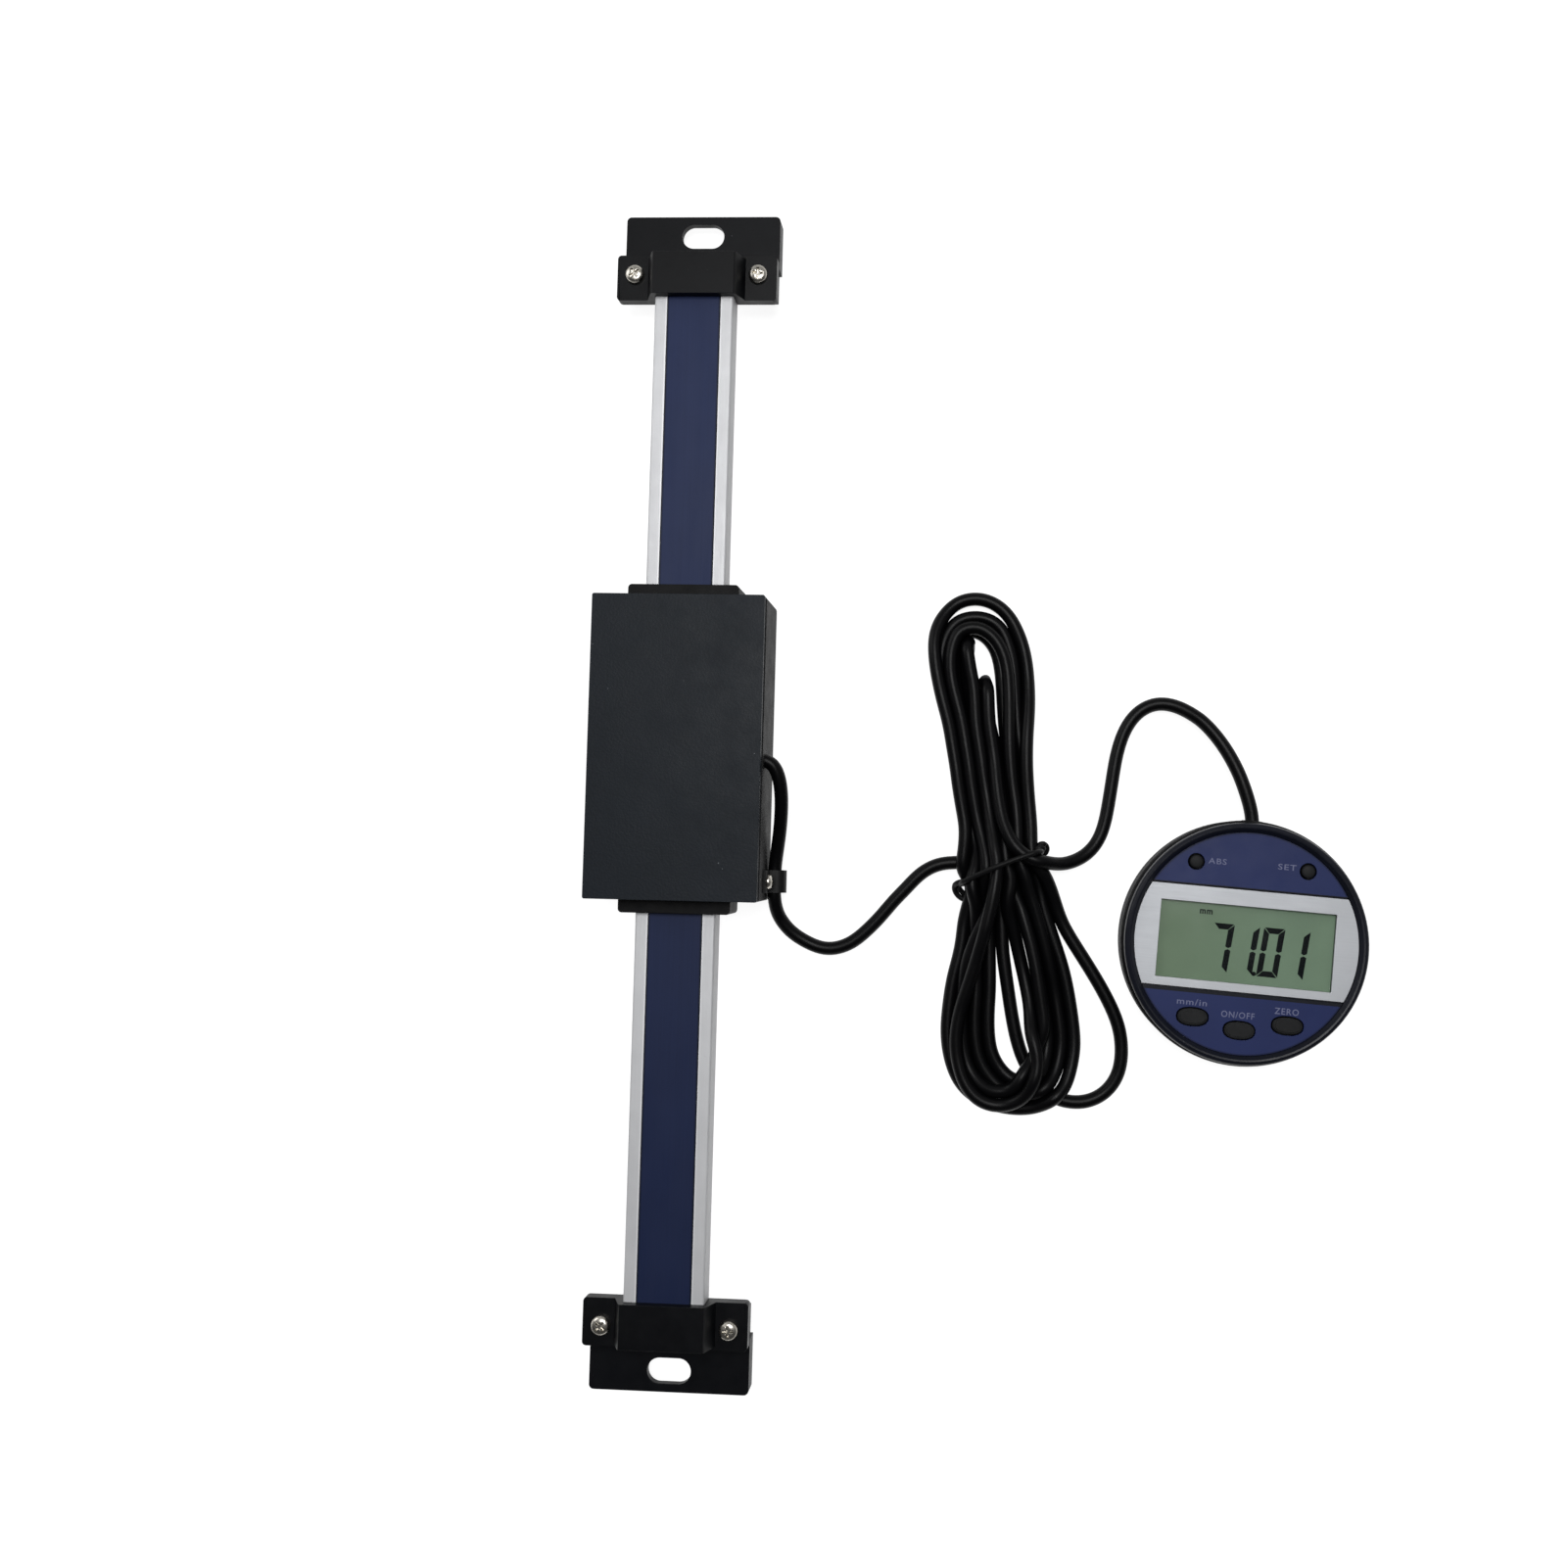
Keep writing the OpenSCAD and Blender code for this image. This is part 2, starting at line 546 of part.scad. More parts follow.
module back_screws() {
  color([0.7, 0.7, 0.7]) at_display() for (p = posts)
    translate([p[0], p[1], 1.45]) rotate([180, 0, 0]) pan_screw(1.7, 1, 0.92, 7);
}
module back_magnets() {
  color([0.7, 0.7, 0.72]) at_display() for (s = [-1, 1]) disc(s * 19.6, 5.5, 5, 0.45, 2.85);
}
// Bush that the cable enters the display by
module display_bush() {
  color([0.03, 0.03, 0.03]) at_display() translate([0, dr - 3.8, 6]) rotate([-90, 0, 0])
    difference() {
      union() {
        cylinder(r = 2.5, h = 3.85, $fn = 48);
        cylinder(r = 2.65, h = 1.6, $fn = 48);
      }
      translate([0, 0, -1]) cylinder(r = 1.2, h = 8, $fn = 32);
    }
}
module round_button(p) {
  color([0.09, 0.1, 0.1]) at_display() translate([p[0], p[1], 0]) {
    rotate_extrude($fn = 48) polygon([
      [0, 7.95], [1.1, 7.95], [1.1, 8.2], [2.7, 8.2], [2.7, 8.85], [1.65, 8.85],
      [1.65, 11.3], [1.5, 11.6], [1.1, 11.75], [0, 11.8]
    ]);
  }
}
module oval_button(p) {
  color([0.09, 0.1, 0.1]) at_display() union() {
    disc(p[0], p[1], 1.1, 7.95, 8.3, 32);
    oval_post(p, 4.5, 2.7, 8.2, 8.85);
    oval_post(p, 3.6, 2, 8.8, 11.3);
    oval_post(p, 3.4, 1.82, 11.25, 11.55);
    oval_post(p, 3, 1.5, 11.5, 11.75);
  }
}
module button_abs() { round_button(round_at[0]); }
module button_set() { round_button(round_at[1]); }
module button_unit() { oval_button(oval_at[0]); }
module button_power() { oval_button(oval_at[1]); }
module button_zero() { oval_button(oval_at[2]); }

// ---------- cable ----------

function way(p, i) = let (d = p[min(i + 1, len(p) - 1)] - p[max(i - 1, 0)]) d / norm(d);
// Tube of n sides swept through the points p
module tube(p, r, n = 8) {
  m = len(p);
  polyhedron(
    points = [for (i = [0:m - 1]) let (t = way(p, i), c = cross(t, [0, 0, 1]), s = c / norm(c), u = cross(s, t))
      for (k = [0:n - 1]) p[i] + r * cos(360 * (k + 0.5) / n) * s + r * sin(360 * (k + 0.5) / n) * u],
    faces = concat(
      [[for (k = [n - 1:-1:0]) k]],
      [for (i = [0:m - 2]) for (k = [0:n - 1])
        [i * n + k, i * n + (k + 1) % n, (i + 1) * n + (k + 1) % n, (i + 1) * n + k]],
      [[for (k = [0:n - 1]) (m - 1) * n + k]]
    ),
    convexity = 6
  );
}
module hank_outline(grow) {
  hull() for (e = hank_ends) translate([e[0], e[1]]) circle(r = e[2] + grow, $fn = 48);
}
module tie_slab(w) {
  translate([tie_at[0], tie_at[1], -1]) rotate([0, 0, tie_turn])
    translate([-40, -w / 2, 0]) cube([80, w, hank_h + 4]);
}
module head_lead() { color([0.03, 0.03, 0.03]) place() tube(route_head, cord_r); }
module display_lead() { color([0.03, 0.03, 0.03]) place() tube(route_display, cord_r); }
// Outer shape of the folded cable, with a groove under it for the tie
module cord_hank() {
  color([0.03, 0.03, 0.03]) place() difference() {
    linear_extrude(hank_h) hank_outline(0);
    intersection() {
      tie_slab(2.4);
      translate([0, 0, -0.1]) linear_extrude(0.9) hank_outline(1);
    }
  }
}
module hank_tie() {
  color([0.02, 0.02, 0.02]) place() intersection() {
    tie_slab(2.2);
    difference() {
      linear_extrude(hank_h + 0.85) hank_outline(0.8);
      translate([0, 0, 0.75]) linear_extrude(hank_h - 0.7) hank_outline(0.05);
    }
  }
}

beam_extrusion();
scale_board();
scale_overlay();
end_base_top();
end_base_bottom();
end_strap_top();
end_strap_bottom();
strap_screws();
strap_inserts();
head_base();
head_cover();
wiper_collar_top();
wiper_collar_bottom();
wiper_felt_top();
wiper_felt_bottom();
carriage();
gib_strip();
gib_screws();
glide_pads();
sensor_board();
sensor_chips();
board_screws();
cover_screws();
mounting_inserts();
cable_grommet();
cable_clip();
clip_screw();
display_back();
display_front();
face_panel();
window_band();
lcd_window();
lcd_glass();
contact_strips();
display_board();
tact_switches();
battery();
battery_contact();
battery_cover();
back_screws();
back_magnets();
display_bush();
button_abs();
button_set();
button_unit();
button_power();
button_zero();
head_lead();
cord_hank();
hank_tie();
display_lead();
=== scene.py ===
import math

import bmesh
import bpy
import numpy as np
from mathutils import Matrix, Vector


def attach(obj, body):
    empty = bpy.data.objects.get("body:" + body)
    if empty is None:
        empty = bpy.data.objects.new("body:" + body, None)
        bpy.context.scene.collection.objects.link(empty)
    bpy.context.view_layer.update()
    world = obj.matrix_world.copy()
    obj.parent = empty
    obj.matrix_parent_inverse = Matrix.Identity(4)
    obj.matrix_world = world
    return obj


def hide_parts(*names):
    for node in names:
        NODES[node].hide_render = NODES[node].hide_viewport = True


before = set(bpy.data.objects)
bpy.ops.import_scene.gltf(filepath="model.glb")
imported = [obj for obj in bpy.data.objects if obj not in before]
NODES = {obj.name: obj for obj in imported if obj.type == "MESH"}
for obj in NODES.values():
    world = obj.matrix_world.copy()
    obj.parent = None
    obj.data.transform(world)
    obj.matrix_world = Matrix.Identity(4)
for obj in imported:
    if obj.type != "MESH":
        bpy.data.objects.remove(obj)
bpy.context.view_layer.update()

MM = 0.001
scene = bpy.context.scene

# ------------------------------------------------------------------ camera


def rodrigues(r):
    r = np.array(r, float)
    t = np.linalg.norm(r)
    k = r / t
    cross = np.array([[0, -k[2], k[1]], [k[2], 0, -k[0]], [-k[1], k[0], 0]])
    return np.eye(3) + math.sin(t) * cross + (1 - math.cos(t)) * cross @ cross


flip = np.diag([1.0, -1.0, -1.0])
world_to_view = rodrigues([-0.0492087, 0.0541875, 0.0209518]) @ flip
cam_turn = (flip @ world_to_view).T
cam_data = bpy.data.cameras.new("camera")
camera = bpy.data.objects.new("camera", cam_data)
scene.collection.objects.link(camera)
place = Matrix([list(map(float, row)) for row in cam_turn]).to_4x4()
place.translation = Vector((1.6046, -13.3093, 344.5761)) * MM
camera.matrix_world = place
cam_data.sensor_fit = "HORIZONTAL"
cam_data.sensor_width = 36
cam_data.lens = 31.016
cam_data.shift_x = -0.08089
cam_data.clip_start, cam_data.clip_end = 0.01, 10
scene.camera = camera

# ------------------------------------------------------------------ cord
# Way points of the cord in millimetres, in the row frame. The two leads are
# where part.scad has them; the hank between them is six long loops over a waist.

HEAD_LEAD = [
    (-53.9, 8, 15.2), (-52.5, 7.95, 15.2), (-51.1, 7.4, 15.15), (-49.9, 6, 14.9),
    (-49.05, 3.6, 14.3), (-48.6, 0.2, 13.2), (-48.65, -4, 11.8), (-49.1, -8.5, 9.9),
    (-49.75, -12.6, 8.2), (-50.35, -16, 6.9), (-50.7, -18.7, 6.25), (-50.74, -22, 6.2),
    (-50.74, -25.1, 6.2), (-50.5, -28.1, 5.1),
    (-49.5, -31.5, 3.2), (-47.3, -34.6, 1.95), (-43.7, -36.9, 1.7), (-40.4, -38.5, 1.7),
    (-37.4, -39.2, 1.7), (-34.2, -38.6, 1.7), (-31.2, -37.3, 1.7), (-27.5, -34, 1.7),
    (-23.9, -30.2, 1.7), (-21, -26.4, 1.7), (-17.8, -23.15, 1.7), (-14.9, -19.7, 1.7),
    (-11.7, -17.4, 1.7), (-7.3, -16.2, 1.7),
]
DISPLAY_LEAD = [
    (21.2, -16.3, 5.2), (24.3, -15.45, 2.9), (27.2, -14.0, 1.8), (30.1, -10.9, 1.7),
    (31.8, -6.65, 1.7), (32.7, -1.7, 1.7), (33.6, 4.5, 1.7), (34.7, 12, 1.7),
    (36.6, 18.2, 1.7), (39.45, 22.5, 1.7), (42.4, 24.5, 1.8), (45.5, 25.3, 2),
    (50.4, 24.1, 2.7), (55.2, 20.9, 3.6), (60, 15.5, 4.6), (64, 8.6, 5.5),
    (66.5, 2, 5.95), (67.8, -3.2, 6), (67.9, -6.0, 6),
]
HANK = [
    # lower half loop, bottom layer, open to the right
    (2.3, -18.1, 1.7), (5.8, -23.5, 1.7), (6.3, -30.9, 1.7), (6.5, -37.3, 1.7), (8.0, -45.3, 1.7),
    (10.0, -57.5, 1.7), (12.2, -65.5, 1.7), (15.7, -71.7, 1.7), (19.8, -75.0, 1.7), (23.8, -75.9, 1.7),
    (27.8, -76.0, 1.7), (33.0, -73.8, 1.7), (36.6, -69.2, 1.7), (37.5, -64.7, 1.7), (36.9, -56.7, 1.7),
    (35.2, -52.7, 1.7), (30.6, -44.7, 1.7), (25.2, -36.7, 1.7), (21.0, -30.7, 1.7), (17.9, -21.0, 1.7),
    (16.1, -15.9, 1.7),
    # upper, the longest
    (15.0, -12.3, 7.0), (13.7, -7.7, 7.0), (12.0, 4.2, 7.0), (11.1, 14.3, 7.0), (10.9, 19.3, 7.0),
    (10.5, 38.4, 7.0), (8.4, 44.9, 7.0), (4.2, 49.6, 7.0), (-1.1, 51.4, 7.0), (-6.5, 50.2, 7.0),
    (-10.4, 45.6, 7.0), (-11.8, 40.9, 7.0), (-11.6, 35.3, 7.0), (-10.7, 29.8, 7.0), (-9.3, 24.5, 7.0),
    (-7.6, 19.0, 7.0), (-6.3, 12.5, 7.0), (-4.5, 6.7, 7.0), (-3.3, 0.7, 7.0), (-2.3, -5.2, 7.0),
    (-1.8, -11.1, 7.0), (-1.7, -14.0, 7.0),
    # lower, the outermost on the left
    (-1.4, -20.0, 5.2), (-1.7, -25.5, 5.2), (-2.1, -33.2, 5.2), (-5.1, -45.5, 5.2), (-6.8, -57.7, 5.2),
    (-5.7, -65.8, 5.2), (-2.6, -72.4, 5.2), (3.4, -76.2, 5.2), (12.1, -77.5, 5.2), (17.5, -75.8, 5.2),
    (22.7, -72.5, 5.2), (24.7, -64.8, 5.2), (24.4, -56.8, 5.2), (21.5, -44.8, 5.2), (18.5, -32.7, 5.2),
    (16.4, -25.4, 5.2), (14.6, -17.8, 5.2),
    # upper
    (13.2, -12.3, 3.8), (11.8, -4.9, 3.8), (10.4, 4.2, 3.8), (9.5, 14.3, 3.8), (9.0, 24.5, 3.8),
    (8.4, 36.6, 3.8), (6.4, 43.1, 3.8), (2.9, 46.3, 3.8), (-1.5, 47.1, 3.8), (-5.9, 46.2, 3.8),
    (-8.8, 41.9, 3.8), (-9.8, 36.8, 3.8), (-9.1, 29.9, 3.8), (-7.9, 24.5, 3.8), (-6.2, 19.0, 3.8),
    (-4.7, 12.6, 3.8), (-3.1, 6.7, 3.8), (-2.0, 0.7, 3.8), (-0.9, -5.2, 3.8), (-0.2, -11.0, 3.8),
    (0.2, -14.4, 3.8),
    # lower
    (0.8, -19.9, 5.9), (0.9, -25.4, 5.9), (0.1, -36.4, 5.9), (-0.5, -45.5, 5.9), (-0.3, -57.5, 5.9),
    (0.2, -65.5, 5.9), (4.4, -71.7, 5.9), (11.1, -74.8, 5.9), (17.8, -73.3, 5.9), (21.8, -66.8, 5.9),
    (21.4, -56.9, 5.9), (19.6, -44.8, 5.9), (16.0, -32.7, 5.9), (13.6, -25.5, 5.9), (12.1, -17.8, 5.9),
    # upper
    (11.1, -14.2, 10.1), (10.3, -10.8, 10.1), (9.3, -5.0, 10.1), (8.1, 6.9, 10.1), (7.4, 13.8, 10.1),
    (7.2, 24.7, 10.1), (6.4, 35.6, 10.1), (3.4, 41.3, 10.1), (-1.0, 44.2, 10.1), (-4.9, 43.2, 10.1),
    (-7.5, 40.1, 10.1), (-8.1, 35.9, 10.1), (-7.6, 29.9, 10.1), (-6.4, 24.5, 10.1), (-4.6, 19.1, 10.1),
    (-3.2, 12.6, 10.1), (-1.4, 6.7, 10.1), (-0.4, 0.7, 10.1), (0.6, -5.1, 10.1), (1.7, -11.0, 10.1),
    (2.2, -14.4, 10.1),
    # lower, the innermost
    (2.8, -19.9, 4.5), (3.2, -27.2, 4.5), (3.2, -36.3, 4.5), (3.0, -45.4, 4.5), (3.0, -57.4, 4.5),
    (3.6, -62.8, 4.5), (6.3, -69.1, 4.5), (10.1, -71.7, 4.5), (14.7, -70.6, 4.5), (18.0, -65.8, 4.5),
    (19.0, -57.0, 4.5), (17.4, -44.9, 4.5), (14.4, -32.8, 4.5), (12.2, -25.5, 4.5), (10.8, -17.9, 4.5),
    # upper, under the others
    (9.8, -12.4, 2.4), (8.9, -5.0, 2.4), (8.0, 4.1, 2.4), (7.5, 14.3, 2.4), (7.3, 24.7, 2.4),
    (6.1, 34.7, 2.4), (2.7, 40.9, 2.4), (-1.1, 43.4, 2.4), (-4.9, 42.9, 2.4), (-7.2, 39.2, 2.4),
    (-7.6, 33.5, 2.4), (-6.9, 28.0, 2.4), (-5.4, 21.5, 2.4), (-3.7, 15.9, 2.4), (-1.9, 10.4, 2.4),
    (-0.3, 4.0, 2.4), (1.4, -5.1, 2.4), (2.8, -12.5, 2.4),
    # lower
    (3.1, -19.0, 9.1), (1.6, -27.2, 9.1), (-0.9, -41.0, 9.1), (-2.7, -54.7, 9.1), (-2.5, -63.7, 9.1),
    (1.0, -71.3, 9.1), (5.0, -73.5, 9.1), (9.9, -73.5, 9.1), (14.2, -70.9, 9.1), (16.6, -65.0, 9.1),
    (17.3, -57.0, 9.1), (16.0, -44.9, 9.1), (13.3, -32.8, 9.1), (11.1, -25.5, 9.1), (9.5, -18.8, 9.1),
    # upper, a short loop that turns over at its end
    (6.4, -11.6, 1.7), (3.9, -3.0, 1.7), (1.4, 8.0, 1.7), (-1.4, 18.8, 5.0), (-3.4, 27.1, 6.4),
    (-4.6, 33.0, 6.6), (-5.2, 37.6, 7.0), (-5.4, 40.8, 8.0), (-4.8, 42.0, 10.4), (-4.0, 39.6, 12.9),
    (-3.1, 33.6, 12.9), (-1.6, 28.2, 12.9), (-1.2, 20.0, 12.9), (-0.8, 12.6, 12.9), (-0.3, 6.7, 12.9),
    (0.3, 0.2, 12.9), (2.2, -4.5, 12.9), (4.0, -10.7, 12.9), (5.3, -17.1, 12.9),
    # lower, across the top of the others
    (4.8, -22.8, 13.2), (1.9, -33.1, 13.2), (-1.4, -45.4, 13.2), (-3.9, -53.8, 13.2), (-4.7, -60.2, 13.2),
    (-4.0, -66.5, 13.2), (-1.7, -72.8, 13.2), (2.5, -76.3, 13.2), (6.7, -77.3, 13.2), (12.0, -75.2, 13.2),
    (15.6, -70.9, 13.2), (16.8, -65.1, 13.2), (16.0, -57.0, 13.2), (12.6, -45.0, 13.2), (9.6, -32.9, 13.2),
    (8.2, -25.6, 13.2), (7.8, -19.7, 13.2),
    # upper, the shortest, which turns over on itself and leaves to the right
    (7.4, -12.4, 2.0), (6.6, -3.3, 2.0), (5.4, 4.5, 2.0), (4.0, 11.0, 2.0), (2.6, 17.0, 2.0),
    (1.5, 21.5, 2.2), (0.9, 26.4, 3.0), (0.6, 29.6, 5.6), (0.9, 30.8, 9.4), (1.5, 29.0, 13.2),
    (1.8, 25.0, 15.4), (2.1, 19.2, 15.9), (2.8, 13.7, 15.7),
    (3.3, 6.8, 15.7), (4.3, -0.3, 15.7), (5.6, -5.6, 15.7), (7.6, -10.8, 15.7), (9.9, -14.2, 15.7),
    (12.6, -16.0, 14.6), (15.6, -16.6, 11.6), (18.4, -16.6, 8.2),
]
CORD_D = 3.4
HOLD = 0.10
FIRM = 0.40
OUTERMOST = [*range(27, 38), *range(46, 54)]
TIE_AT = np.array([5.9, -17.4])
TIE_ALONG = np.array([math.cos(math.radians(23)), math.sin(math.radians(23))])
TIE_ACROSS = np.array([-TIE_ALONG[1], TIE_ALONG[0]])


def smooth_line(points, n=12):
    """A smooth line through the points, n steps from each to the next."""
    out = []
    for i in range(len(points) - 1):
        p0, p1 = points[max(i - 1, 0)], points[i]
        p2, p3 = points[i + 1], points[min(i + 2, len(points) - 1)]
        d = [max(np.linalg.norm(b - a), 1e-6) ** 0.5 for a, b in ((p0, p1), (p1, p2), (p2, p3))]
        t = np.linspace(0, 1, n, endpoint=False)[:, None]
        m1 = m2 = p2 - p1
        if i > 0:
            m1 = (p2 - p1) + ((p1 - p0) / d[0] - (p2 - p0) / (d[0] + d[1])) * d[1]
        if i < len(points) - 2:
            m2 = (p2 - p1) + ((p3 - p2) / d[2] - (p3 - p1) / (d[1] + d[2])) * d[1]
        out.append(
            (2 * t**3 - 3 * t**2 + 1) * p1 + (t**3 - 2 * t**2 + t) * m1
            + (-2 * t**3 + 3 * t**2) * p2 + (t**3 - t**2) * m2
        )
    out.append(points[-1:])
    return np.concatenate(out)


def even_steps(line, step):
    s = np.concatenate([[0], np.cumsum(np.linalg.norm(np.diff(line[:, :3], axis=0), axis=1))])
    t = np.linspace(0, s[-1], int(round(s[-1] / step)) + 1)
    return np.stack([np.interp(t, s, line[:, k]) for k in range(line.shape[1])], 1)


def settle(points, tags, step=1.7, d=CORD_D, turns=420):
    """Lets the cord settle: it falls, keeps its length, resists bending, and neither passes through itself nor the floor. tags are 0 where it is held, 1 on the leads, 2 in the hank."""
    line = smooth_line(points)
    tag = np.append(np.repeat(tags, 12)[: len(line) - 1], tags[-1])
    both = even_steps(np.concatenate([line, tag[:, None]], 1), step)
    x, tag = both[:, :3].copy(), np.round(both[:, 3])
    n = len(x)
    aim = x.copy()
    free = np.where(tag < 0.5, 0.0, 1.0)
    free[:3] = free[-3:] = 0
    pull = np.where(tag < 1.5, 0.5, np.where(tag > 2.5, FIRM, HOLD))
    flat = np.linalg.norm(np.diff(x[:, :2], axis=0), axis=1)
    rest = np.maximum(np.clip(flat, 0.9, step), 1.2)
    i0, j0 = np.triu_indices(n, 7)
    r = d / 2
    hank = tag > 1.5
    leaves = np.nonzero(hank)[0][-1] - int(16 / step)
    near_i = near_j = np.zeros(0, int)
    for turn in range(turns):
        late = turn / turns
        x[:, 2] -= (0.10 if late < 0.8 else 0.02) * free
        w = (pull * (1 if late < 0.7 else 0.5))[:, None]
        x[:, :2] += w * (aim[:, :2] - x[:, :2]) * free[:, None]
        for _ in range(2):
            bend = 0.5 * (x[:-2] + x[2:]) - x[1:-1]
            x[1:-1] += 0.22 * bend * free[1:-1, None]
        bend = 0.5 * (x[:-6] + x[6:]) - x[3:-3]
        x[3:-3] += 0.02 * bend * free[3:-3, None]
        # the tie draws the strands in at the waist
        rel = x[:, :2] - TIE_AT
        along, across = rel @ TIE_ALONG, rel @ TIE_ACROSS
        half = 8.1 + np.maximum(0, np.abs(across) - 1.7) * 0.62
        at_tie = hank & (np.abs(across) < 7) & (np.arange(n) < leaves)
        over = np.where(at_tie, along - np.clip(along, -half, half), 0)
        x[:, :2] -= 0.5 * over[:, None] * TIE_ALONG
        for _ in range(3):
            for o in (0, 1):
                a, b = x[o:-1:2], x[o + 1 :: 2]
                m = min(len(a), len(b))
                a, b = a[:m], b[:m]
                gap = b - a
                dist = np.linalg.norm(gap, axis=1)
                fa, fb = free[o:-1:2][:m], free[o + 1 :: 2][:m]
                both_free = np.maximum(fa + fb, 1e-9)
                fix = ((dist - rest[o::2][:m]) / np.maximum(dist, 1e-9) * 0.5)[:, None] * gap
                a += fix * (2 * fa / both_free)[:, None]
                b -= fix * (2 * fb / both_free)[:, None]
        if turn % 4 == 0:
            close = ((x[i0] - x[j0]) ** 2).sum(1) < (d + 2.0) ** 2
            near_i, near_j = i0[close], j0[close]
        # the tie's wire passes under the waist
        lift = r + 1.3 * np.exp(-((across / 7.0) ** 4)) * hank
        for _ in range(3):
            gap = x[near_j] - x[near_i]
            dist = np.linalg.norm(gap, axis=1)
            hit = dist < d + 0.02
            if hit.any():
                a, b = near_i[hit], near_j[hit]
                fa, fb = free[a], free[b]
                both_free = np.maximum(fa + fb, 1e-9)
                dd = np.maximum(dist[hit], 1e-6)
                push = ((d + 0.02 - dd) / dd)[:, None] * gap[hit] * 0.42
                count = np.bincount(a, minlength=n) + np.bincount(b, minlength=n)
                share = 1.0 / np.maximum(1, count / 3.0)
                for k in range(3):
                    x[:, k] -= np.bincount(a, push[:, k] * (2 * fa / both_free), minlength=n) * share
                    x[:, k] += np.bincount(b, push[:, k] * (2 * fb / both_free), minlength=n) * share
            x[:, 2] = np.where((x[:, 2] < lift) & (free > 0), lift, x[:, 2])
    return x, tag


route = np.array(HEAD_LEAD + HANK + DISPLAY_LEAD, float)
route_tags = np.array(
    [0 if k < 14 else 1 for k in range(len(HEAD_LEAD))]
    + [3 if k in OUTERMOST else 2 for k in range(len(HANK))]
    + [1 if k < 13 else 0 for k in range(len(DISPLAY_LEAD))]
)
cord_points, cord_tags = settle(route, route_tags, d=CORD_D - 0.05)
cord_points[1:-1] = 0.25 * cord_points[:-2] + 0.5 * cord_points[1:-1] + 0.25 * cord_points[2:]
cord_line = even_steps(smooth_line(cord_points, 5), 0.9)


def tube(name, lines, radius, sides=14, closed=()):
    """A mesh piece with a round section along each line, open or closed, in millimetres."""
    verts, faces = [], []
    ring = np.linspace(0, 2 * math.pi, sides, endpoint=False)
    for k, line in enumerate(lines):
        p = np.array(line, float)
        n = len(p)
        loop_ = k in closed
        if loop_:
            t = np.roll(p, -1, 0) - np.roll(p, 1, 0)
        else:
            t = np.gradient(p, axis=0)
        t /= np.maximum(np.linalg.norm(t, axis=1), 1e-9)[:, None]
        e1 = np.cross(t[0], (0, 0, 1.0) if abs(t[0][2]) < 0.9 else (1.0, 0, 0))
        e1 /= np.linalg.norm(e1)
        frames = [e1]
        for i in range(1, n):
            e = frames[-1] - t[i] * (frames[-1] @ t[i])
            frames.append(e / np.linalg.norm(e))
        frames = np.array(frames)
        if loop_:
            # spread the twist left over at the join along the loop
            last = frames[-1] - t[0] * (frames[-1] @ t[0])
            last /= np.linalg.norm(last)
            left = math.atan2(float(np.cross(last, frames[0]) @ t[0]), float(last @ frames[0]))
            ang = left * np.arange(n) / n
        else:
            ang = np.zeros(n)
        other = np.cross(t, frames)
        base = len(verts)
        for i in range(n):
            c, s_ = np.cos(ring + ang[i]), np.sin(ring + ang[i])
            verts.extend((p[i] + radius * (c[:, None] * frames[i] + s_[:, None] * other[i])) * MM)
        for i in range(n if loop_ else n - 1):
            j = (i + 1) % n
            for a in range(sides):
                b = (a + 1) % sides
                faces.append((base + i * sides + a, base + i * sides + b, base + j * sides + b, base + j * sides + a))
        if not loop_:
            # rounded ends
            for end, way in ((0, -1.0), (n - 1, 1.0)):
                rim = [base + end * sides + a for a in range(sides)]
                tip = len(verts)
                for share, out in ((0.8, 0.45), (0.45, 0.8)):
                    for a in range(sides):
                        v = np.array(verts[rim[a]]) if share == 0.8 else None
                        centre = p[end] * MM
                        first = np.array(verts[base + end * sides + a])
                        verts.append(centre + (first - centre) * share + t[end] * way * radius * MM * out)
                verts.append((p[end] + t[end] * way * radius * 0.92) * MM)
                rings_ = [rim, [tip + a for a in range(sides)], [tip + sides + a for a in range(sides)]]
                for lower, upper in zip(rings_, rings_[1:]):
                    for a in range(sides):
                        b = (a + 1) % sides
                        quad = (lower[a], lower[b], upper[b], upper[a])
                        faces.append(quad if way > 0 else quad[::-1])
                top = len(verts) - 1
                for a in range(sides):
                    b = (a + 1) % sides
                    tri = (rings_[2][a], rings_[2][b], top)
                    faces.append(tri if way > 0 else tri[::-1])
    me = bpy.data.meshes.new(name)
    me.from_pydata([tuple(map(float, v)) for v in verts], [], faces)
    me.polygons.foreach_set("use_smooth", [True] * len(faces))
    me.update()
    obj = bpy.data.objects.new(name, me)
    scene.collection.objects.link(obj)
    return obj


cable = tube("signal_cable", [cord_line], CORD_D / 2, 20)
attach(cable, "root")
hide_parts("head_lead", "cord_hank", "display_lead")

# ------------------------------------------------------------------ tie round the hank


def hull(points):
    """Convex outline of 2-D points, counter-clockwise."""
    pts = sorted(map(tuple, np.round(points, 5)))

    def half_hull(seq):
        out = []
        for p in seq:
            while len(out) > 1 and (
                (out[-1][0] - out[-2][0]) * (p[1] - out[-2][1])
                - (out[-1][1] - out[-2][1]) * (p[0] - out[-2][0])
            ) <= 0:
                out.pop()
            out.append(p)
        return out[:-1]

    return np.array(half_hull(pts) + half_hull(reversed(pts)))


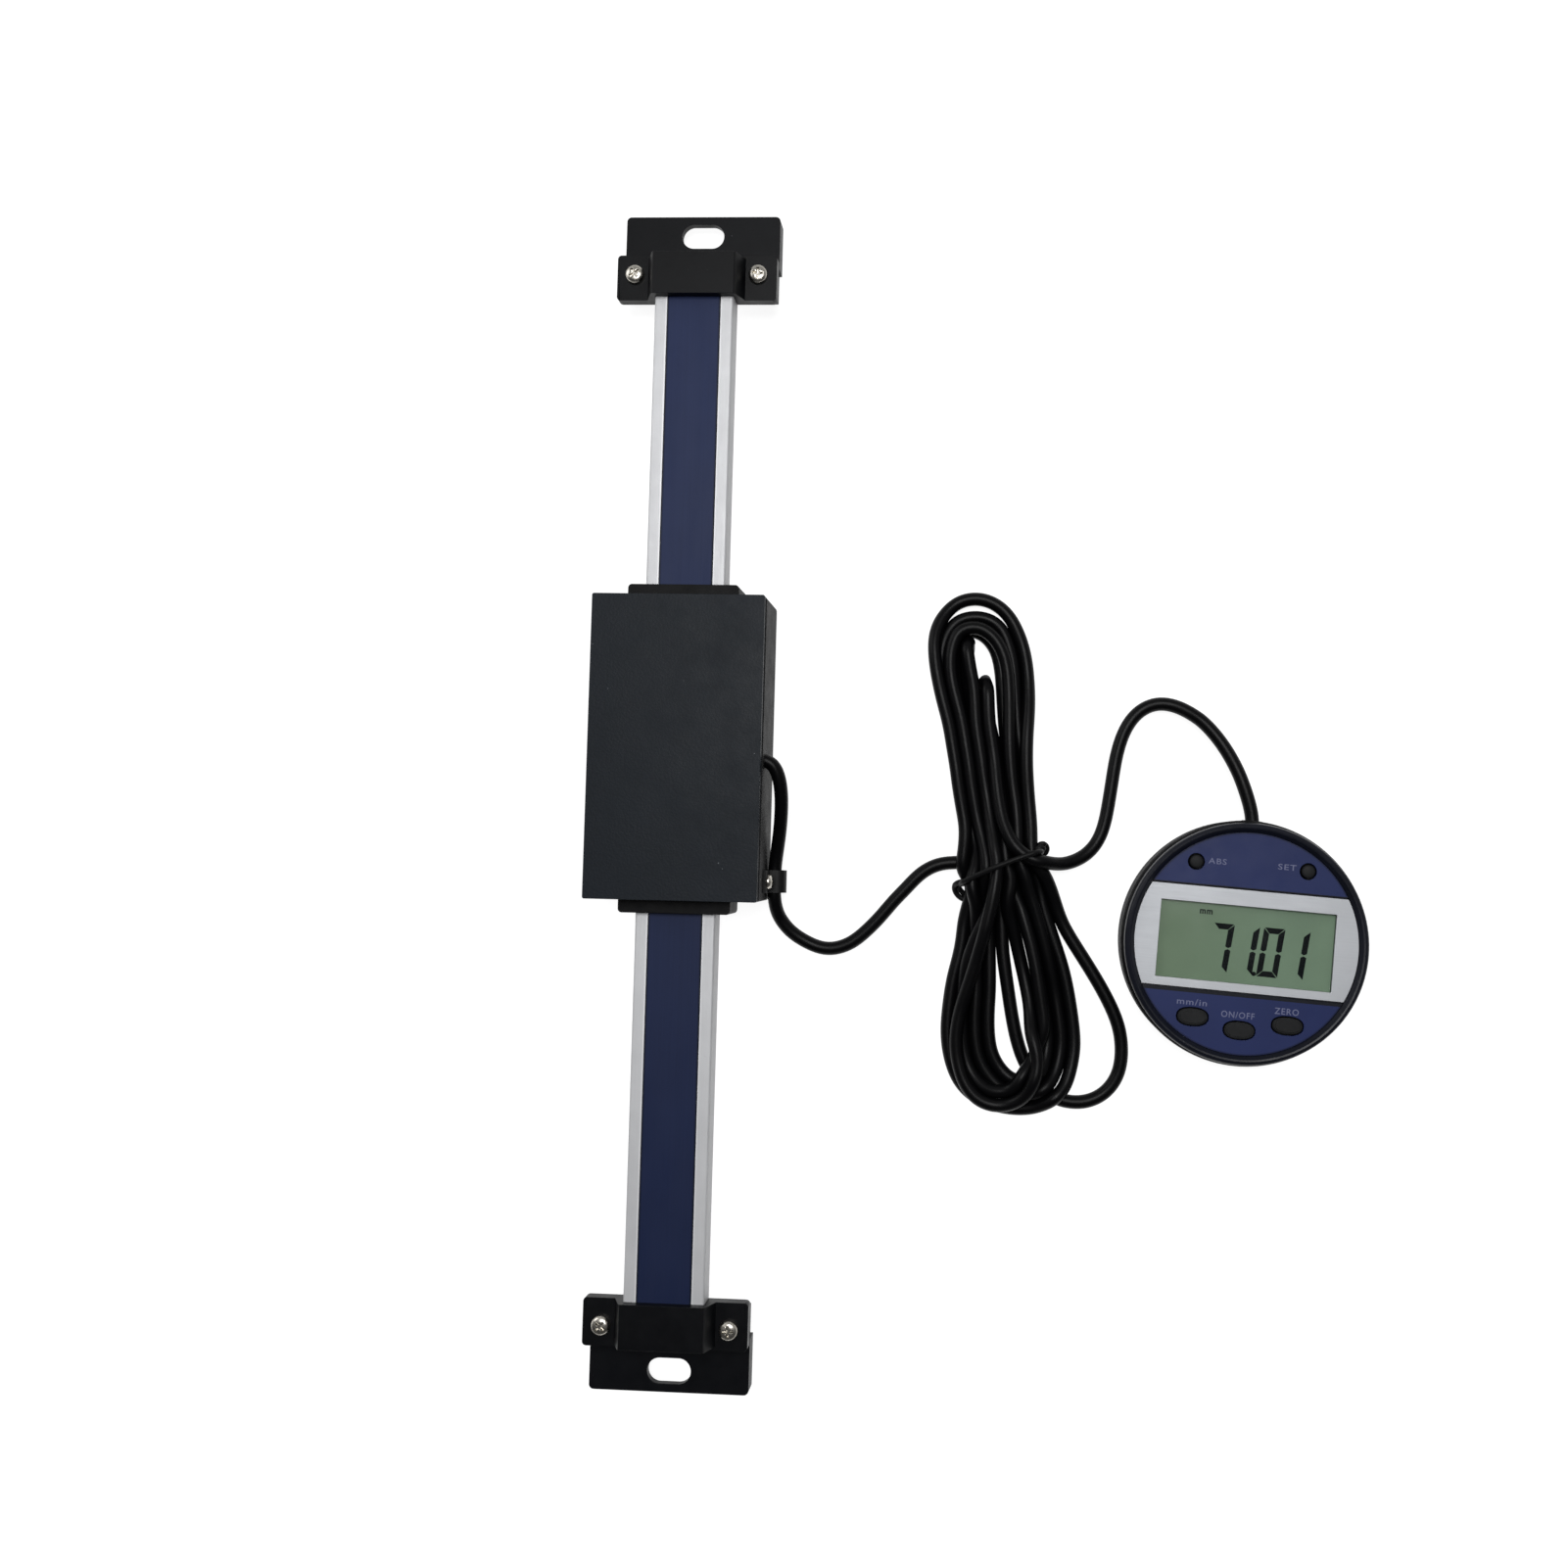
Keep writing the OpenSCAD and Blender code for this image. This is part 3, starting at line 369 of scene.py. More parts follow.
WIRE_R = 0.68
rel = cord_points[:, :2] - TIE_AT
near_tie = (np.abs(rel @ TIE_ACROSS) < 1.5) & (cord_tags > 1.5)
centres = np.stack([(rel @ TIE_ALONG)[near_tie], cord_points[near_tie, 2]], 1)
ring = np.array([(math.cos(a), math.sin(a)) for a in np.linspace(0, 2 * math.pi, 24, endpoint=False)])
outline = hull((centres[:, None, :] + ring[None] * (CORD_D / 2 + WIRE_R + 0.03)).reshape(-1, 2))
outline = even_steps(np.concatenate([outline, outline[:1]]), 0.8)[:-1]
for _ in range(3):
    outline = 0.5 * outline + 0.25 * (np.roll(outline, 1, 0) + np.roll(outline, -1, 0))
outline = outline[np.argsort(-outline[:, 0])[0] :].tolist() + outline[: np.argsort(-outline[:, 0])[0]].tolist()
outline = np.array(outline)
outline[:, 1] = np.maximum(outline[:, 1], WIRE_R + 0.06)
lo_s, hi_s = outline[:, 0].min(), outline[:, 0].max()


def at_waist(s, z, across=0.0):
    p = TIE_AT + TIE_ALONG * s + TIE_ACROSS * across
    return (p[0], p[1], z)


loop = []
for k, (s, z) in enumerate(outline):
    # the wire climbs a little along the bundle, so that its ends pass each other
    side = 0.75 * math.sin(2 * math.pi * k / len(outline))
    loop.append(at_waist(s, z, side))
z_mid = float(outline[np.argmax(outline[:, 0]), 1])
z_left = float(outline[np.argmin(outline[:, 0]), 1])


def twisted(start, end, turns, spread, steps=60, phase=0.0):
    """Two wires twisted round each other from start to end."""
    a, b = np.array(start, float), np.array(end, float)
    axis = (b - a) / np.linalg.norm(b - a)
    up = np.array([0, 0, 1.0])
    e1 = np.cross(axis, up)
    e1 /= np.linalg.norm(e1)
    e2 = np.cross(axis, e1)
    out = []
    for side in (0, math.pi):
        t = np.linspace(0, 1, steps)
        ang = 2 * math.pi * turns * t + side + phase
        out.append(a + (b - a) * t[:, None] + spread * (np.cos(ang)[:, None] * e1 + np.sin(ang)[:, None] * e2))
    return out


right_start = at_waist(hi_s - 0.6, z_mid + 0.9, 0.5)
right_end = at_waist(hi_s + 0.9, z_mid - 0.4, 1.5)
pair = twisted(right_start, right_end, 0.8, WIRE_R * 0.98, 30)
nub = smooth_line(np.array([
    at_waist(hi_s + 0.8, z_mid - 0.4, 1.7), at_waist(hi_s + 1.6, z_mid - 0.9, 1.1),
    at_waist(hi_s + 1.5, z_mid - 1.4, 0.0), at_waist(hi_s + 0.7, z_mid - 1.7, -0.7),
    at_waist(hi_s + 0.3, z_mid - 1.4, -0.2),
], float), 8)
left_hook = smooth_line(np.array([
    at_waist(lo_s + 1.4, z_left + 2.4, 0.2), at_waist(lo_s - 0.2, z_left + 1.3, 0.5),
    at_waist(lo_s - 1.4, max(z_left - 0.4, 1.6), 0.2), at_waist(lo_s - 1.9, max(z_left - 1.6, 1.3), -1.2),
    at_waist(lo_s - 1.5, max(z_left - 2.1, 1.0), -2.9), at_waist(lo_s - 0.6, max(z_left - 2.2, 0.9), -3.9),
    at_waist(lo_s - 0.1, max(z_left - 2.0, 0.9), -3.1), at_waist(lo_s - 0.5, max(z_left - 1.5, 1.1), -1.6),
    at_waist(lo_s - 0.7, max(z_left - 0.9, 1.3), -0.8),
], float), 8)
tie = tube("twist_tie", [loop, pair[0], pair[1], nub, left_hook], WIRE_R, 10, closed=(0,))
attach(tie, "root")
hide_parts("hank_tie")

# ------------------------------------------------------------------ materials


def linear(r, g, b):
    out = []
    for c in (r, g, b):
        c /= 255
        out.append(c / 12.92 if c <= 0.04045 else ((c + 0.055) / 1.055) ** 2.4)
    return tuple(out)


class Mat:
    """A node material in the making. Sizes are in millimetres."""

    def __init__(self, name):
        self.m = bpy.data.materials.new(name)
        self.m.use_nodes = True
        self.t = self.m.node_tree
        self.t.nodes.clear()
        out = self.n("ShaderNodeOutputMaterial")
        self.b = self.n("ShaderNodeBsdfPrincipled")
        self.link(self.b.outputs[0], out.inputs[0])
        self.out = out
        self.co = self.n("ShaderNodeTexCoord").outputs["Object"]

    def n(self, kind, **props):
        node = self.t.nodes.new(kind)
        for k, v in props.items():
            setattr(node, k, v)
        return node

    def link(self, a, b):
        self.t.links.new(a, b)

    def put(self, socket, value):
        if isinstance(value, bpy.types.NodeSocket):
            self.link(value, socket)
        else:
            socket.default_value = value

    def mapped(self, scale=(1, 1, 1), turn=(0, 0, 0), move=(0, 0, 0)):
        node = self.n("ShaderNodeMapping")
        self.link(self.co, node.inputs["Vector"])
        node.inputs["Location"].default_value = move
        node.inputs["Rotation"].default_value = turn
        node.inputs["Scale"].default_value = scale
        return node.outputs[0]

    def noise(self, size, detail=3, rough=0.5, vec=None, distortion=0.0):
        node = self.n("ShaderNodeTexNoise")
        self.link(self.co if vec is None else vec, node.inputs["Vector"])
        node.inputs["Scale"].default_value = 1000 / size
        node.inputs["Detail"].default_value = detail
        node.inputs["Roughness"].default_value = rough
        node.inputs["Distortion"].default_value = distortion
        return node.outputs[0]

    def cells(self, size, feature="F1", vec=None, out="Distance"):
        node = self.n("ShaderNodeTexVoronoi", feature=feature)
        self.link(self.co if vec is None else vec, node.inputs["Vector"])
        node.inputs["Scale"].default_value = 1000 / size
        return node.outputs[out]

    def math(self, op, a, b=0.0, c=None, clamp=False):
        node = self.n("ShaderNodeMath", operation=op, use_clamp=clamp)
        self.put(node.inputs[0], a)
        self.put(node.inputs[1], b)
        if c is not None:
            self.put(node.inputs[2], c)
        return node.outputs[0]

    def span(self, value, lo, hi, to_lo, to_hi):
        node = self.n("ShaderNodeMapRange", clamp=True)
        self.link(value, node.inputs["Value"])
        for key, v in (("From Min", lo), ("From Max", hi), ("To Min", to_lo), ("To Max", to_hi)):
            node.inputs[key].default_value = v
        return node.outputs[0]

    def mix(self, fac, a, b, blend="MIX"):
        node = self.n("ShaderNodeMix", data_type="RGBA", blend_type=blend)
        self.put(node.inputs["Factor"], fac)
        for socket, value in ((node.inputs[6], a), (node.inputs[7], b)):
            if isinstance(value, bpy.types.NodeSocket):
                self.link(value, socket)
            else:
                socket.default_value = (*value[:3], 1)
        return node.outputs[2]

    def axis(self, name, vec=None):
        node = self.n("ShaderNodeSeparateXYZ")
        self.link(self.co if vec is None else vec, node.inputs[0])
        return node.outputs[name]

    def bump(self, height, depth, strength=1.0, normal=None):
        node = self.n("ShaderNodeBump")
        node.inputs["Strength"].default_value = strength
        node.inputs["Distance"].default_value = depth * MM
        self.link(height, node.inputs["Height"])
        if normal is not None:
            self.link(normal, node.inputs["Normal"])
        return node.outputs[0]

    def colour(self, value):
        self.put(self.b.inputs["Base Color"], value if isinstance(value, bpy.types.NodeSocket) else (*value, 1))

    def rough(self, value):
        self.put(self.b.inputs["Roughness"], value)

    def normal(self, value):
        self.link(value, self.b.inputs["Normal"])

    def set(self, **values):
        for key, value in values.items():
            self.b.inputs[key.replace("_", " ")].default_value = value


def shade(c, k):
    return tuple(max(0.0, min(1.0, v * k)) for v in c)


def moulded(name, base, rough=0.45, spread=0.07, grain=0.35, depth=0.012, vary=0.14, spec=0.5,
            specks=0.0, dust=None, smears=4.0):
    """Moulded or painted plastic: mottled colour, uneven gloss, fine surface grain, a few light specks."""
    m = Mat(name)
    cloud = m.noise(smears * 2.2, 4, 0.55)
    fine = m.noise(grain * 1.6, 2, 0.6)
    col = m.mix(m.span(cloud, 0.3, 0.7, 0, 1), shade(base, 1 - vary), shade(base, 1 + vary))
    col = m.mix(m.span(fine, 0.35, 0.75, 0, 0.35), col, shade(base, 1 + 2.4 * vary))
    if specks:
        dots = m.math("LESS_THAN", m.cells(2.6), 0.055)
        few = m.math("GREATER_THAN", m.noise(5.0, 1, 0.5, m.mapped(move=(0.4, 0.1, 0.2))), 0.62)
        col = m.mix(m.math("MULTIPLY", m.math("MULTIPLY", dots, few), specks), col, (0.3, 0.32, 0.34))
    m.colour(col)
    gloss = m.noise(smears, 5, 0.6, m.mapped(move=(0.05, 0.02, 0.01)))
    m.rough(m.span(gloss, 0.28, 0.72, rough - spread, rough + spread))
    pebble = m.noise(grain, 3, 0.62)
    wavy = m.noise(smears * 1.7, 2, 0.4)
    n = m.bump(wavy, 0.05, 0.25)
    m.normal(m.bump(pebble, depth, 1.0, n))
    m.set(Specular_IOR_Level=spec)
    return m.m


def pebbled(name, base, rough=0.5, cell=0.55, depth=0.03, spec=0.45):
    """Spark-eroded plastic: small rounded pebbles with narrow valleys, and a painted highlight on each pebble's top."""
    m = Mat(name)
    warped = m.n("ShaderNodeVectorMath", operation="ADD")
    m.link(m.co, warped.inputs[0])
    drift = m.n("ShaderNodeTexNoise")
    m.link(m.co, drift.inputs["Vector"])
    drift.inputs["Scale"].default_value = 900
    small = m.n("ShaderNodeVectorMath", operation="SCALE")
    m.link(drift.outputs[1], small.inputs[0])
    small.inputs["Scale"].default_value = 0.00028
    m.link(small.outputs[0], warped.inputs[1])
    dist = m.cells(cell, "SMOOTH_F1", warped.outputs[0])
    top = m.span(dist, 0.15, 0.75, 1.0, 0.0)
    cloud = m.noise(14, 4, 0.6)
    col = m.mix(m.span(cloud, 0.3, 0.7, 0, 1), shade(base, 0.86), shade(base, 1.14))
    # painted highlight: the tops of the pebbles are lightened in the colour
    col = m.mix(m.math("MULTIPLY", top, 0.5), col, shade(base, 1.45))
    dots = m.math("LESS_THAN", m.cells(3.1), 0.05)
    few = m.math("GREATER_THAN", m.noise(6.0, 1, 0.5, m.mapped(move=(0.4, 0.1, 0.2))), 0.6)
    col = m.mix(m.math("MULTIPLY", m.math("MULTIPLY", dots, few), 0.55), col, (0.22, 0.24, 0.26))
    m.colour(col)
    worn = m.noise(9, 5, 0.65, m.mapped(move=(0.03, 0.07, 0)))
    m.rough(m.span(worn, 0.3, 0.7, rough - 0.06, rough + 0.08))
    m.normal(m.bump(top, depth, 0.8, m.bump(m.noise(18, 2, 0.4), 0.12, 0.2)))
    m.set(Specular_IOR_Level=spec)
    return m.m


def metal(name, base, rough=0.35, spread=0.08, lines=None, line_depth=0.004, vary=0.08, metallic=1.0, spots=0.0,
          spec=0.5, flange=None):
    """Metal with drawn lines along one axis, or a fine matt grain where lines is None. flange is the middle, inner
    and outer distance of a beam's two flanges: a painted highlight brightens their inner corners and painted shade
    darkens their outer ones."""
    m = Mat(name)
    if lines is None:
        streak = m.noise(0.22, 4, 0.6)
    else:
        scale = {"x": (0.012, 1, 1), "y": (1, 0.012, 1), "z": (1, 1, 0.012)}[lines]
        streak = m.noise(0.16, 4, 0.65, m.mapped(scale))
    cloud = m.noise(9, 4, 0.55)
    col = m.mix(m.span(cloud, 0.3, 0.7, 0, 1), shade(base, 1 - vary), shade(base, 1 + vary * 0.6))
    col = m.mix(m.span(streak, 0.3, 0.7, 0.0, 0.35), col, shade(base, 1 - 2 * vary))
    if spots:
        pits = m.math("LESS_THAN", m.cells(1.7), 0.07)
        col = m.mix(m.math("MULTIPLY", pits, spots), col, shade(base, 0.5))
    if flange:
        # painted highlight on the flanges' inner corners and painted shade on their outer corners
        side = m.math("ABSOLUTE", m.math("SUBTRACT", m.axis("X"), flange[0] * MM))
        inner = m.span(side, (flange[1] + 0.25) * MM, (flange[1] + 0.55) * MM, 1.0, 0.0)
        outer = m.span(side, (flange[2] - 0.16) * MM, (flange[2] - 0.04) * MM, 0.0, 1.0)
        col = m.mix(m.math("MULTIPLY", inner, 0.6), col, shade(base, 1.45))
        col = m.mix(m.math("MULTIPLY", outer, 0.9), col, shade(base, 0.6))
    m.colour(col)
    both = m.math("ADD", m.math("MULTIPLY", streak, 0.6), m.math("MULTIPLY", m.noise(3, 4, 0.6), 0.4))
    m.rough(m.span(both, 0.35, 0.65, rough - spread, rough + spread))
    m.normal(m.bump(streak, line_depth, 0.7, m.bump(m.noise(12, 2, 0.5), 0.03, 0.3)))
    m.set(Metallic=metallic, Specular_IOR_Level=spec)
    return m.m


def turned_metal(name, base, rough=0.3, centres=(), pitch=0.16):
    """Screw heads: turning rings round each screw's own axis, small dents and a little tarnish."""
    m = Mat(name)
    grain = m.noise(0.3, 4, 0.6)
    cloud = m.noise(1.8, 4, 0.6)
    if centres:
        near = None
        for cx, cy in centres:
            node = m.n("ShaderNodeVectorMath", operation="DISTANCE")
            flat = m.mapped((1, 1, 0))
            m.link(flat, node.inputs[0])
            node.inputs[1].default_value = (cx * MM, cy * MM, 0)
            near = node.outputs["Value"] if near is None else m.math("MINIMUM", near, node.outputs["Value"])
        rings = m.math("SINE", m.math("MULTIPLY", near, 2 * math.pi * 1000 / pitch))
        grain = m.math("ADD", m.math("MULTIPLY", rings, 0.22), grain)
    col = m.mix(m.span(cloud, 0.35, 0.7, 0, 1), base, shade(base, 0.72))
    m.colour(col)
    m.rough(m.span(m.noise(0.9, 5, 0.6), 0.3, 0.7, rough - 0.1, rough + 0.12))
    m.normal(m.bump(grain, 0.006, 0.8))
    m.set(Metallic=1.0)
    return m.m


# Colours
ALU = (0.80, 0.81, 0.83)
BLACK = (0.0095, 0.0105, 0.012)

mats = {}
mats["beam_aluminium"] = metal("anodised_aluminium", (0.585, 0.59, 0.605), 0.5, 0.06, "y", 0.006, 0.05, 0.4, 0.25, 0.3,
                               flange=(-74.1, 6.75, 10.0))
mats["bracket_black"] = moulded("bracket_black", (0.0026, 0.0030, 0.0042), 0.42, 0.07, 0.4, 0.012, 0.2, 0.13, 0.2)
mats["strap_black"] = moulded("strap_black", (0.0024, 0.0027, 0.0036), 0.40, 0.07, 0.4, 0.011, 0.2, 0.14, 0.2)
mats["shell_black"] = moulded("shell_black", (0.0065, 0.0066, 0.0072), 0.62, 0.07, 0.35, 0.016, 0.2, 0.18, 0.2)
mats["cover_black"] = pebbled("cover_pebbled", (0.0050, 0.0078, 0.0118), 0.44, 0.5, 0.014, 0.155)
mats["collar_black"] = moulded("collar_black", (0.0024, 0.0025, 0.003), 0.55, 0.06, 0.3, 0.012, 0.2, 0.13)
mats["carriage_zinc"] = metal("cast_zinc", (0.45, 0.46, 0.48), 0.45, 0.08, None, 0.02, 0.12)
mats["gib_brass"] = metal("gib_brass", (0.72, 0.53, 0.24), 0.35, 0.08, "y", 0.006, 0.1)
mats["insert_brass"] = metal("insert_brass", (0.72, 0.53, 0.24), 0.32, 0.08, "z", 0.01, 0.12)
mats["screw_dark"] = metal("screw_dark", (0.12, 0.12, 0.125), 0.36, 0.08, None, 0.01, 0.15)
mats["screw_zinc"] = metal("screw_zinc", (0.60, 0.60, 0.58), 0.3, 0.08, None, 0.008, 0.12)
mats["rubber_black"] = moulded("rubber_black", (0.006, 0.006, 0.0065), 0.62, 0.06, 0.25, 0.014, 0.2, 0.35)
mats["clip_black"] = moulded("clip_black", (0.0035, 0.0035, 0.004), 0.5, 0.08, 0.3, 0.01, 0.2, 0.2)
mats["case_black"] = moulded("case_black", (0.0022, 0.0023, 0.0028), 0.62, 0.06, 0.35, 0.01, 0.2, 0.12, 0.15)
mats["bezel_black"] = moulded("bezel_black", (0.0060, 0.0070, 0.0120), 0.34, 0.06, 0.5, 0.004, 0.2, 0.2, 0.15)
mats["cord_black"] = moulded("cord_jacket", (0.0016, 0.0016, 0.0020), 0.36, 0.06, 0.5, 0.006, 0.25, 0.12, 0.0, smears=5)
mats["tie_black"] = moulded("tie_jacket", (0.0022, 0.0022, 0.0026), 0.5, 0.08, 0.25, 0.012, 0.25, 0.16)
mats["button_rubber"] = moulded("button_rubber", (0.0085, 0.009, 0.0098), 0.6, 0.06, 0.22, 0.012, 0.2, 0.2)
mats["chip_black"] = moulded("chip_epoxy", (0.012, 0.012, 0.013), 0.6, 0.05, 0.15, 0.01, 0.2, 0.4)
mats["pad_white"] = moulded("pad_acetal", (0.72, 0.71, 0.67), 0.45, 0.06, 0.4, 0.008, 0.05, 0.45)
mats["battery_steel"] = turned_metal("battery_steel", (0.66, 0.66, 0.65), 0.28)
mats["contact_gold"] = metal("contact_gold", (0.86, 0.66, 0.28), 0.25, 0.06, "x", 0.003, 0.08)
mats["magnet_nickel"] = metal("magnet_nickel", (0.62, 0.60, 0.56), 0.22, 0.06, None, 0.003, 0.06)


def felt(name, base):
    m = Mat(name)
    hairs = m.noise(0.35, 5, 0.75, m.mapped((1, 0.35, 1)), 0.8)
    tufts = m.noise(1.6, 4, 0.6)
    m.colour(m.mix(m.span(hairs, 0.3, 0.7, 0, 1), shade(base, 0.6), shade(base, 1.4)))
    m.rough(m.span(tufts, 0.3, 0.7, 0.85, 0.98))
    m.normal(m.bump(hairs, 0.12, 1.0, m.bump(tufts, 0.2, 0.6)))
    m.set(Sheen_Weight=0.4, Sheen_Roughness=0.5, Specular_IOR_Level=0.2)
    return m.m


def board(name, base):
    """Circuit board: woven glass under lacquer, a few lighter tracks."""
    m = Mat(name)
    weave = m.math(
        "MULTIPLY",
        m.math("SINE", m.math("MULTIPLY", m.axis("X"), 2 * math.pi * 1000 / 0.5)),
        m.math("SINE", m.math("MULTIPLY", m.axis("Y"), 2 * math.pi * 1000 / 0.5)),
    )
    brick = m.n("ShaderNodeTexBrick")
    m.link(m.co, brick.inputs["Vector"])
    for key, v in (("Scale", 420.0), ("Mortar Size", 0.035), ("Brick Width", 1.7), ("Row Height", 0.55)):
        brick.inputs[key].default_value = v
    tracks = m.math("MULTIPLY", brick.outputs["Fac"], m.math("GREATER_THAN", m.noise(3.5, 1, 0.5), 0.5))
    col = m.mix(m.span(weave, -1, 1, 0, 0.3), base, shade(base, 1.5))
    m.colour(m.mix(m.math("MULTIPLY", tracks, 0.5), col, shade(base, 2.2)))
    m.rough(m.span(m.noise(2.5, 4, 0.6), 0.3, 0.7, 0.26, 0.42))
    m.normal(m.bump(m.math("ADD", weave, tracks), 0.01, 0.6))
    return m.m


mats["circuit_green"] = board("circuit_green", (0.012, 0.07, 0.03))
mats["scale_circuit"] = board("scale_circuit", (0.02, 0.055, 0.03))
mats["felt_grey"] = felt("wiper_felt", (0.10, 0.10, 0.10))


def strip_film(name, base):
    """Printed film: deep blue under a satin lacquer, faint drag marks along the beam, painted shade towards the lower
    end and in the gap along its edges.
    """
    m = Mat(name)
    drag = m.noise(0.3, 4, 0.6, m.mapped((1, 0.006, 1)))
    cloud = m.noise(22, 4, 0.5)
    fine = m.noise(0.28, 3, 0.6)
    col = m.mix(m.span(cloud, 0.3, 0.7, 0, 1), shade(base, 0.9), shade(base, 1.1))
    col = m.mix(m.span(drag, 0.35, 0.7, 0, 0.30), col, shade(base, 1.35))
    col = m.mix(m.span(fine, 0.45, 0.75, 0, 0.25), col, shade(base, 1.3))
    # painted shade: the film is darkened towards the lower end, where less light falls on it
    col = m.mix(m.span(m.axis("Y"), -150 * MM, 110 * MM, 0.5, 0.0), col, shade(base, 0.22))
    # painted shade in the narrow gap along the film's edges
    side = m.math("ABSOLUTE", m.math("ADD", m.axis("X"), 74.1 * MM))
    edge = m.span(side, 6.15 * MM, 6.6 * MM, 0.0, 0.85)
    m.colour(m.mix(edge, col, shade(base, 0.18)))
    m.rough(m.span(m.noise(5, 5, 0.6, m.mapped((1, 0.2, 1))), 0.3, 0.7, 0.36, 0.52))
    m.normal(m.bump(drag, 0.002, 0.5, m.bump(fine, 0.003, 0.5)))
    m.set(Specular_IOR_Level=0.14)
    return m.m


mats["scale_blue"] = strip_film("scale_film", (0.0150, 0.0245, 0.074))

DISPLAY_AT = Vector((65.7, -34.3, 0)) * MM
DISPLAY_TURN = math.radians(-4)
DISPLAY = Matrix.Translation(DISPLAY_AT) @ Matrix.Rotation(DISPLAY_TURN, 4, "Z")


def in_display(m):
    """Coordinates measured from the display's own middle, turned with it."""
    back = DISPLAY.inverted()
    return m.mapped((1, 1, 1), (0, 0, -DISPLAY_TURN), tuple(back.translation))


def face_print(name, base):
    """Blue printed face: satin, with painted shade along each side of the silver band and a dark rim."""
    m = Mat(name)
    vec = in_display(m)
    y = m.axis("Y", vec)
    r = m.n("ShaderNodeVectorMath", operation="LENGTH")
    flat = m.n("ShaderNodeVectorMath", operation="MULTIPLY")
    m.link(vec, flat.inputs[0])
    flat.inputs[1].default_value = (1, 1, 0)
    m.link(flat.outputs[0], r.inputs[0])
    # painted shade: the face is made near black under and just beside the silver band, standing in for the shade along
    # the band's edges
    top = m.math("MULTIPLY", m.math("GREATER_THAN", y, -13.0 * MM), m.math("LESS_THAN", y, 13.5 * MM))
    rim = m.span(r.outputs["Value"], 26.5 * MM, 26.9 * MM, 0, 0.75)
    cloud = m.noise(14, 4, 0.5)
    fine = m.noise(0.3, 3, 0.6)
    col = m.mix(m.span(cloud, 0.3, 0.7, 0, 1), shade(base, 0.92), shade(base, 1.08))
    col = m.mix(m.span(fine, 0.4, 0.75, 0, 0.3), col, shade(base, 1.3))
    col = m.mix(rim, col, shade(base, 0.2))
    m.colour(m.mix(top, col, (0.006, 0.007, 0.012)))
    m.rough(m.span(m.noise(4, 5, 0.6), 0.3, 0.7, 0.34, 0.48))
    m.normal(m.bump(fine, 0.004, 0.6))
    m.set(Specular_IOR_Level=0.14)
    return m.m


mats["face_blue"] = face_print("face_blue_print", (0.0165, 0.0255, 0.095))


def brushed_band(name, base):
    m = Mat(name)
    vec = in_display(m)
    wide = m.n("ShaderNodeMapping")
    m.link(vec, wide.inputs["Vector"])
    wide.inputs["Scale"].default_value = (0.02, 1, 1)
    streak = m.noise(0.2, 5, 0.65, wide.outputs[0])
    cloud = m.noise(12, 3, 0.5)
    col = m.mix(m.span(cloud, 0.3, 0.7, 0, 1), shade(base, 0.95), shade(base, 1.04))
    col = m.mix(m.span(streak, 0.3, 0.7, 0, 0.4), col, shade(base, 0.86))
    m.colour(col)
    m.rough(m.span(streak, 0.3, 0.7, 0.34, 0.52))
    m.normal(m.bump(streak, 0.004, 0.6))
    m.set(Metallic=0.3, Specular_IOR_Level=0.2)
    return m.m


mats["band_silver"] = brushed_band("band_silver", (0.47, 0.485, 0.51))


def liquid_crystal(name, base):
    """Reflective liquid crystal: grey-green, a faint diagonal grain of the polariser, lighter patches."""
    m = Mat(name)
    vec = in_display(m)
    grain = m.n("ShaderNodeMapping")
    m.link(vec, grain.inputs["Vector"])
    grain.inputs["Rotation"].default_value = (0, 0, math.radians(45))
    grain.inputs["Scale"].default_value = (0.06, 1, 1)
    fibre = m.noise(0.18, 4, 0.6, grain.outputs[0])
    cloud = m.noise(11, 4, 0.55, vec)
    col = m.mix(m.span(cloud, 0.3, 0.7, 0, 1), shade(base, 0.93), shade(base, 1.07))
    col = m.mix(m.span(fibre, 0.3, 0.7, 0, 0.3), col, shade(base, 1.12))
    x = m.axis("X", vec)
    left = m.span(x, -21 * MM, 8 * MM, 0.40, 0.0)
    m.colour(m.mix(left, col, (0.130, 0.178, 0.100)))
    m.rough(m.span(fibre, 0.3, 0.7, 0.5, 0.66))
    m.normal(m.bump(fibre, 0.003, 0.6))
    m.set(Specular_IOR_Level=0.25)
    return m.m


mats["lcd_green"] = liquid_crystal("liquid_crystal", (0.170, 0.246, 0.172))


def clear_pane(name):
    """Clear plastic window: mostly see-through, with a weak uneven gloss."""
    m = Mat(name)
    m.t.nodes.remove(m.b)
    see = m.n("ShaderNodeBsdfTransparent")
    see.inputs[0].default_value = (0.97, 0.98, 0.97, 1)
    gloss = m.n("ShaderNodeBsdfGlossy")
    gloss.inputs["Color"].default_value = (0.9, 0.92, 0.92, 1)
    m.link(m.span(m.noise(6, 4, 0.6), 0.3, 0.7, 0.06, 0.16), gloss.inputs["Roughness"])
    wavy = m.bump(m.noise(9, 2, 0.4), 0.02, 0.4)
    m.link(wavy, gloss.inputs["Normal"])
    mixer = m.n("ShaderNodeMixShader")
    m.link(m.span(m.noise(3.2, 5, 0.65), 0.3, 0.7, 0.006, 0.014), mixer.inputs[0])
    m.link(see.outputs[0], mixer.inputs[1])
    m.link(gloss.outputs[0], mixer.inputs[2])
    m.link(mixer.outputs[0], m.out.inputs[0])
    return m.m


mats["window_clear"] = clear_pane("window_clear")


